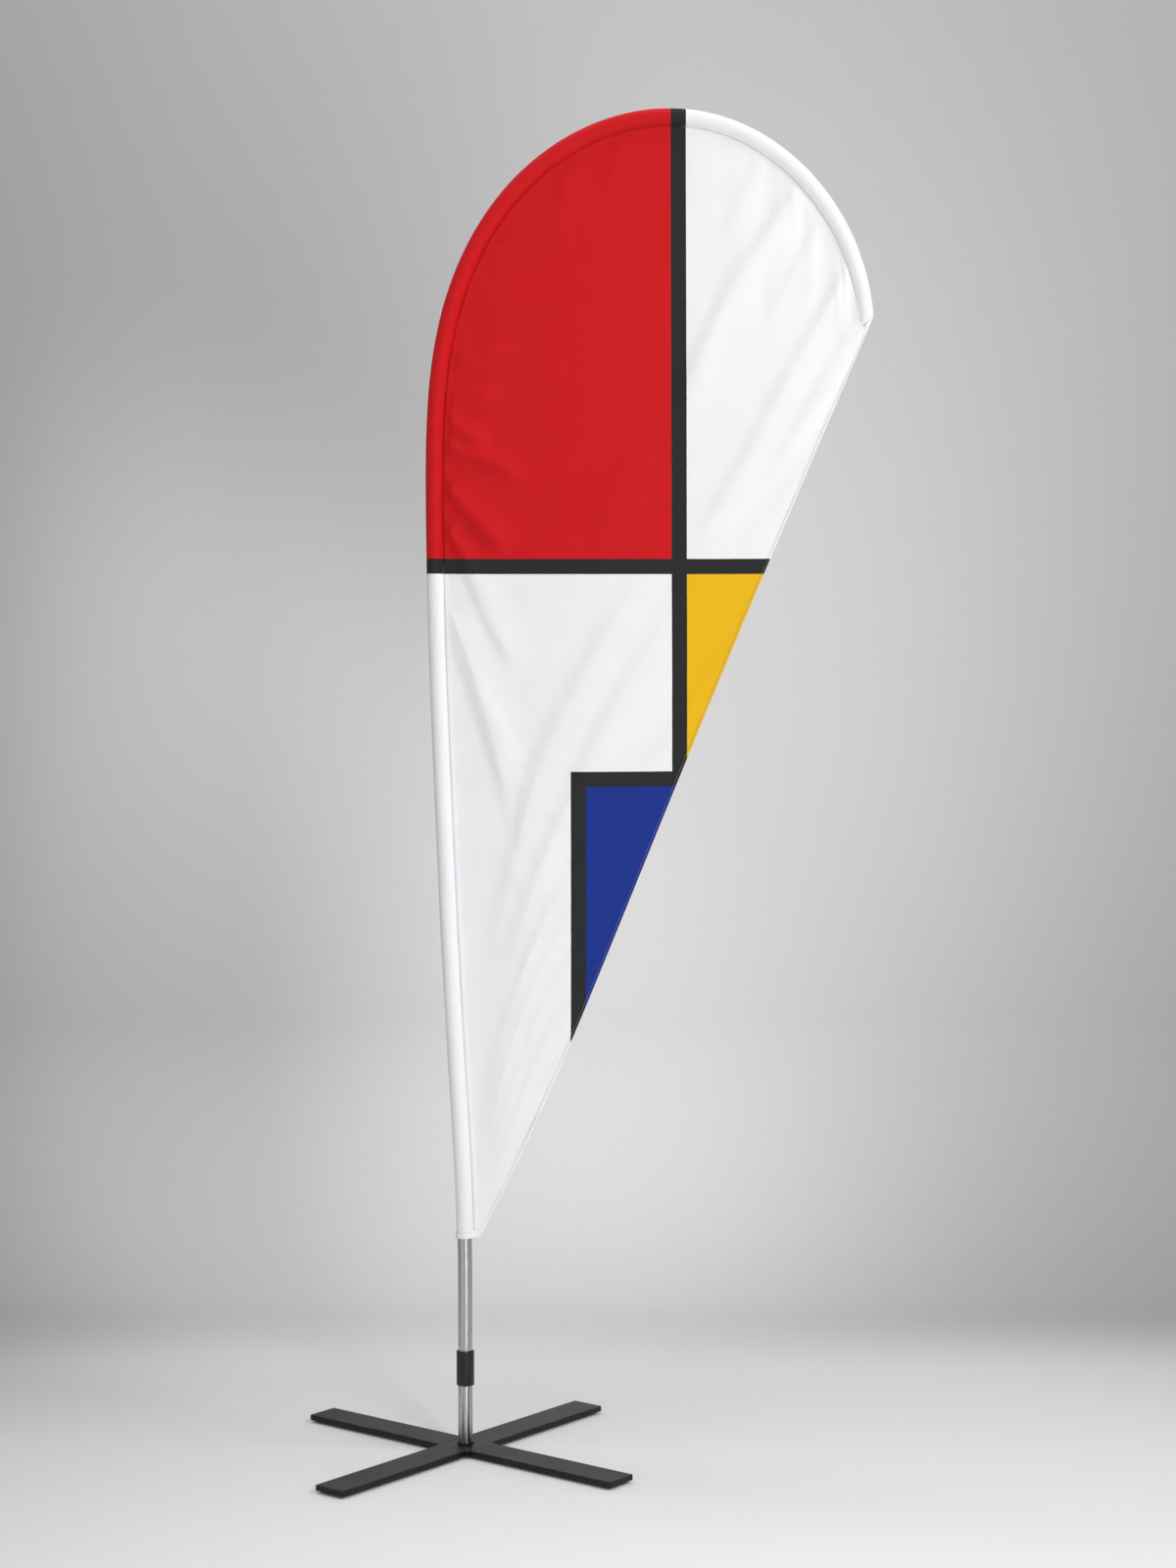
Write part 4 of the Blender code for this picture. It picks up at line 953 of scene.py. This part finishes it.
# ---------------------------------------------------------------- bottom hem
# A bound hem closes the foot of the flag: a doubled band round the sleeve's mouth, 13 mm deep,
# pulled in by its stitches, with a short flat tail under the corner of the panel.
HEM_SIDES = 44
BAND_RISE = 13
BAND_LUMP = 0.0007


def hem_ring(height_share, swell):
    """Return the band's points at a share of its height, round the sleeve and out to its tail."""
    height = HEM_HEIGHT + HEM_BAND * height_share
    centre = beside_pole(length_at_height(height))
    radius = SLEEVE_RADIUS + 0.0006 + swell
    lead = foot_outer.x + (HEM_BAND * height_share) * 0.40
    ring = []
    for side in range(HEM_SIDES):
        turn = math.radians(20 + 320 * side / (HEM_SIDES - 1))
        wave = 0.00018 * math.sin(side * 2.9 + height_share * 5.0)
        lump = BAND_LUMP * math.sin(side * 1.9) * math.sin(side * 0.83 + 1.0)
        lump *= max(0.0, height_share - 0.6) / 0.4
        reach = radius + wave
        ring.append(Vector((centre.x + reach * math.cos(turn), reach * math.sin(turn), height + lump)))
    thick = 0.0013 + swell
    tail = [(0.0150, 1.7), (0.0165, 1.15), (0.0190, 1.0), (0.0225, 1.0), (lead - 0.0008, 0.9), (lead, 0.0)]
    back = [Vector((x, -thick * part, height)) for x, part in tail]
    front = [Vector((x, thick * part, height)) for x, part in tail[-2::-1]]
    return ring + back + front


rings = []
for step in range(BAND_RISE):
    share = step / (BAND_RISE - 1)
    swell = 0.0004 * math.sin(math.pi * share) + 0.0003 * math.exp(-((share - 0.15) / 0.12) ** 2)
    swell -= 0.0004 * math.exp(-((share - 0.80) / 0.07) ** 2)
    rings.append(hem_ring(share, swell))
white_knit = flag_knit("white_polyester_knit", printed=False)
bottom_hem = finish_mesh("bound_bottom_hem", sweep_loop(rings), white_knit, 70.0)
flat_map(bottom_hem, [(v.co.x, v.co.z) for v in bottom_hem.data.vertices])
wall = bottom_hem.modifiers.new("cloth", "SOLIDIFY")
wall.thickness = 0.0005
wall.offset = -1.0
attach(bottom_hem, "mast")
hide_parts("bottom_hem")

# ---------------------------------------------------------------- stitches
# Lockstitch in spun polyester thread, 3 mm long.  One row holds the sleeve to the panel, one runs
# down the leading hem, and one round the bottom band.  Each stitch bites into the cloth.
STITCH = 0.0030
THREAD_RADIUS = 0.00036
SEAM_STITCH = 0.0011
STITCH_LIFT = 0.0007
HEM_STITCH_SHARE = 0.62
BAND_STITCHES = 30


def thread_with_painted_shade(name):
    """Spun polyester thread, red on the red field and grey elsewhere, darker than the print as painted
    shade of the seam groove: dull, with a twist of 0.5 mm.
    """
    material, tree, shader = start_material(name)
    place = add_node(tree, "TexCoord", {}).outputs["Object"]
    axes = add_node(tree, "SeparateXYZ", {0: place}).outputs
    left = add_node(tree, "Math", {0: axes["X"], 1: UPRIGHT_BAR_X}, operation="LESS_THAN").outputs[0]
    high = add_node(tree, "Math", {0: axes["Z"], 1: CROSS_BAR_Z}, operation="GREATER_THAN").outputs[0]
    red = add_node(tree, "Math", {0: left, 1: high}, operation="MULTIPLY").outputs[0]
    # Painted shade: both thread colours are darker than the print beneath them, standing in for the shade
    # in the seam groove and the needle holes.
    tone = add_node(tree, "Mix", {0: red, 6: linear("#a6a8ad"), 7: linear("#5e070c")}, data_type="RGBA")
    twist = add_node(tree, "TexNoise", {"Vector": place, "Scale": 2000.0, "Detail": 1.0}).outputs[0]
    shade = add_node(tree, "MapRange", {0: twist, 3: 0.80, 4: 1.0}).outputs[0]
    worked = add_node(tree, "VectorMath", {0: tone.outputs[2], 3: shade}, operation="SCALE").outputs[0]
    tree.links.new(worked, shader.inputs["Base Color"])
    dull = add_node(tree, "MapRange", {0: twist, 3: 0.55, 4: 0.8}).outputs[0]
    tree.links.new(dull, shader.inputs["Roughness"])
    bump = add_node(tree, "Bump", {"Height": twist, "Strength": 0.4, "Distance": 0.0001})
    tree.links.new(bump.outputs[0], shader.inputs["Normal"])
    return material


def sew(name, points, outward, material):
    """Lay stitches along points, proud of the cloth on the side that outward gives."""
    grain = bmesh.new()
    bmesh.ops.create_uvsphere(grain, u_segments=6, v_segments=4, radius=1.0)
    one_stitch = bpy.data.meshes.new("one_stitch")
    grain.to_mesh(one_stitch)
    grain.free()
    shape = bmesh.new()
    for start, end in zip(points, points[1:]):
        run = end - start
        along = run.normalized()
        across_thread = along.cross(outward).normalized()
        turn = Matrix((across_thread, along.cross(across_thread), along)).transposed().to_4x4()
        size = Matrix.Diagonal((THREAD_RADIUS, THREAD_RADIUS * 0.8, run.length * 0.40, 1.0))
        place = Matrix.Translation((start + end) / 2) @ turn @ size
        made = len(shape.verts)
        shape.from_mesh(one_stitch)
        shape.verts.ensure_lookup_table()
        for vertex in shape.verts[made:]:
            vertex.co = place @ vertex.co
    piece = finish_mesh(name, shape, material, 80.0)
    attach(piece, "mast")
    return piece


def along_panel(rows, in_from_seam, out):
    """Return points a stitch apart along a line on the panel, moved out to its front."""
    line = np.array([tuple(place_on_panel(number, in_from_seam(number))) for number in rows])
    steps = np.concatenate(([0.0], np.cumsum(np.linalg.norm(np.diff(line, axis=0), axis=1))))
    marks = np.arange(0.0, steps[-1], STITCH)
    return [Vector([float(np.interp(mark, steps, line[:, axis])) for axis in range(3)]) +
            Vector((0.0, -out, 0.0)) for mark in marks]


def hem_stitch_place(number):
    """Return how far in from the seam the leading hem's stitches lie, on one row of the panel."""
    return row_width[number * (COLUMNS + 1)] - HEM_WIDTH * HEM_STITCH_SHARE


thread = thread_with_painted_shade("polyester_thread_painted_shade")
for side, word in ((1.0, "front"), (-1.0, "back")):
    points = along_panel(range(1, ROWS - 4), lambda number: SEAM_STITCH, side * STITCH_LIFT)
    sew(f"seam_stitches_{word}", points, Vector((0.0, -side, 0.0)), thread)
    points = along_panel(range(3, ROWS - 2), hem_stitch_place, side * HEM_HALF * 0.92)
    sew(f"leading_hem_stitches_{word}", points, Vector((0.0, -side, 0.0)), thread)
band_height = HEM_HEIGHT + HEM_BAND * 0.80
centre = beside_pole(length_at_height(band_height))
points = []
for step in range(BAND_STITCHES):
    turn = math.radians(24 + 312 * step / (BAND_STITCHES - 1))
    reach = SLEEVE_RADIUS + 0.0010
    points.append(Vector((centre.x + reach * math.cos(turn), reach * math.sin(turn), band_height)))
sew("bottom_hem_stitches", points, Vector((0.0, 0.0, 1.0)), thread)

# ---------------------------------------------------------------- studio
# A cove of pale grey paper, clear from behind, with painted light and shade on it, runs from under the
# stand up behind it.
# A tall softbox stands right of the camera, one is high on the right and one overhead, with a wide fill on
# the left and a soft spot on the paper.  The room round them is dim, and darkest on the right.
COVE_BACK = 1.05
COVE_BEND = 0.55
COVE_HALF_WIDTH = 16.0
COVE_TOP = 6.0
PAPER_DROP = 0.0002
# Centre and spread of the painted pool of light on the paper.
GLOW_X, GLOW_Z = 0.36, 1.0
GLOW_WIDTH, GLOW_HEIGHT = 1.05, 1.75


def paper_with_painted_light(name):
    """Matt background paper with painted light: a painted pool of light palest behind the flag, painted
    falloff greyer outwards, and painted shade into the cove.
    """
    material, tree, shader = start_material(name)
    place = add_node(tree, "TexCoord", {}).outputs["Object"]
    # Painted light: the wall's grey is palest at the middle of the pool, behind the flag, and falls off
    # outwards.
    centred = add_node(tree, "Mapping", {
        "Vector": place, "Location": (-GLOW_X / GLOW_WIDTH, 0.0, -GLOW_Z / GLOW_HEIGHT),
        "Scale": (1 / GLOW_WIDTH, 0.0, 1 / GLOW_HEIGHT)})
    far = add_node(tree, "VectorMath", {0: centred.outputs[0]}, operation="LENGTH").outputs["Value"]
    square = add_node(tree, "Math", {0: far, 1: far}, operation="MULTIPLY").outputs[0]
    less = add_node(tree, "Math", {0: square, 1: -1.0}, operation="MULTIPLY").outputs[0]
    painted_glow = add_node(tree, "Math", {0: less}, operation="EXPONENT").outputs[0]
    wall = add_node(tree, "Math", {0: painted_glow, 1: 0.39, 2: 0.395}, operation="MULTIPLY_ADD").outputs[0]
    axes = add_node(tree, "SeparateXYZ", {0: place}).outputs
    # Painted shade: the wall is painted darker low down, where it turns into the cove.
    painted_cove_shade = add_node(tree, "MapRange", {0: axes["Z"], 1: 0.05, 2: 0.50, 3: 0.86, 4: 1.0}).outputs[0]
    wall = add_node(tree, "Math", {0: wall, 1: painted_cove_shade}, operation="MULTIPLY").outputs[0]
    depth = axes["Y"]
    # Painted light on the floor: palest near the stand, darker farther back and out to the sides.
    aside = add_node(tree, "Math", {0: axes["X"], 1: GLOW_X}, operation="SUBTRACT").outputs[0]
    aside = add_node(tree, "Math", {0: aside, 1: aside}, operation="MULTIPLY").outputs[0]
    away = add_node(tree, "Math", {0: aside, 1: 0.45, 2: depth}, operation="MULTIPLY_ADD").outputs[0]
    floor_painted_pool = add_node(tree, "MapRange", {0: away, 1: -0.6, 2: 0.6, 3: 0.97, 4: 0.78}).outputs[0]
    floor_painted_falloff = add_node(tree, "MapRange", {0: away, 1: 0.6, 2: 1.6, 4: 0.24}).outputs[0]
    floor_with_painted_light = add_node(tree, "Math", {0: floor_painted_pool, 1: floor_painted_falloff}, operation="SUBTRACT").outputs[0]
    bend = add_node(tree, "MapRange", {0: depth, 1: 0.55, 2: 1.10},
                    interpolation_type="SMOOTHSTEP").outputs[0]
    tone = add_node(tree, "Mix", {0: bend, 2: floor_with_painted_light, 3: wall}, data_type="FLOAT").outputs[0]
    fibre = add_node(tree, "TexNoise", {"Vector": place, "Scale": 30.0, "Detail": 6.0}).outputs[0]
    grain = add_node(tree, "MapRange", {0: fibre, 3: 0.99, 4: 1.01}).outputs[0]
    value = add_node(tree, "Math", {0: tone, 1: grain}, operation="MULTIPLY").outputs[0]
    grey = add_node(tree, "CombineColor", {0: value, 1: value, 2: value}).outputs[0]
    tree.links.new(grey, shader.inputs["Base Color"])
    shader.inputs["Roughness"].default_value = 0.9
    shader.inputs["Specular IOR Level"].default_value = 0.2
    behind = add_node(tree, "NewGeometry", {}).outputs["Backfacing"]
    clear = add_node(tree, "BsdfTransparent", {}).outputs[0]
    one_sided = add_node(tree, "MixShader", {0: behind, 1: shader.outputs[0], 2: clear}).outputs[0]
    tree.links.new(one_sided, tree.nodes["Material Output"].inputs["Surface"])
    return material


shape = bmesh.new()
outline = [(-COVE_HALF_WIDTH, -PAPER_DROP), (COVE_BACK, -PAPER_DROP)]
for step in range(1, 13):
    turn = math.radians(90 * step / 12)
    outline.append((COVE_BACK + COVE_BEND * math.sin(turn), COVE_BEND * (1 - math.cos(turn)) - PAPER_DROP))
outline.append((COVE_BACK + COVE_BEND, COVE_TOP))
points = [shape.verts.new((-COVE_HALF_WIDTH, y, z)) for y, z in outline]
edges = [shape.edges.new(pair) for pair in zip(points, points[1:])]
grown = bmesh.ops.extrude_edge_only(shape, edges=edges)["geom"]
far_side = [item for item in grown if isinstance(item, bmesh.types.BMVert)]
bmesh.ops.translate(shape, verts=far_side, vec=(2 * COVE_HALF_WIDTH, 0.0, 0.0))
bmesh.ops.recalc_face_normals(shape, faces=shape.faces)
if sum(face.normal.z for face in shape.faces) < 0:
    bmesh.ops.reverse_faces(shape, faces=shape.faces)
cove = finish_mesh("studio_cove", shape, paper_with_painted_light("background_paper_with_painted_light"), 80.0)


def add_lamp(name, kind, place, aim, power, **settings):
    """Add a lamp at a place, aimed at a point, with the settings of its kind."""
    lamp = bpy.data.lights.new(name, kind)
    lamp.energy = power
    for setting, value in settings.items():
        setattr(lamp, setting, value)
    holder = bpy.data.objects.new(name, lamp)
    holder.location = place
    holder.rotation_euler = (Vector(aim) - Vector(place)).to_track_quat("-Z", "Y").to_euler()
    bpy.context.scene.collection.objects.link(holder)
    return holder


for name, place, aim, power, wide, tall in (
        ("key_softbox", (1.62, -3.75, 2.1), (0.2, 0.0, 1.3), 69.0, 0.9, 3.2),
        ("side_softbox", (3.6, -1.2, 3.2), (0.3, 0.0, 1.3), 62.0, 1.6, 1.6),
        ("left_fill", (-3.4, -3.0, 2.0), (0.0, 0.0, 1.2), 19.0, 2.4, 2.4),
        ("overhead_softbox", (-0.3, 0.1, 4.9), (0.0, 1.1, 0.6), 58.0, 3.2, 1.6)):
    lamp = add_lamp(name, "AREA", place, aim, power, shape="RECTANGLE", size=wide, size_y=tall)
    lamp.visible_glossy = name != "side_softbox"
add_lamp("paper_lamp", "SPOT", (-1.3, 0.3, 3.4), (-0.36, 1.55, 0.42), 190.0,
         spot_size=math.radians(40), spot_blend=1.0, shadow_soft_size=0.25)
world = bpy.data.worlds.new("studio_air")
world.use_nodes = True
air = world.node_tree
ahead = add_node(air, "SeparateXYZ", {0: add_node(air, "TexCoord", {}).outputs["Generated"]}).outputs["X"]
dim = add_node(air, "MapRange", {0: ahead, 1: -0.1, 2: 0.8, 3: 0.26, 4: 0.07}).outputs[0]
grey = add_node(air, "CombineColor", {0: dim, 1: dim, 2: dim}).outputs[0]
air.links.new(grey, air.nodes["Background"].inputs["Color"])
bpy.context.scene.world = world
bpy.context.scene.view_settings.view_transform = "Standard"

CAMERA_TILT = 2.58
camera_data = bpy.data.cameras.new("studio_camera")
camera_data.sensor_width = 36.0
camera_data.lens = 65.97
camera = bpy.data.objects.new("studio_camera", camera_data)
camera.location = (0.2142, -4.968, 1.392)
camera.rotation_euler = (math.radians(90 - CAMERA_TILT), 0.0, 0.0)
bpy.context.scene.collection.objects.link(camera)
bpy.context.scene.camera = camera
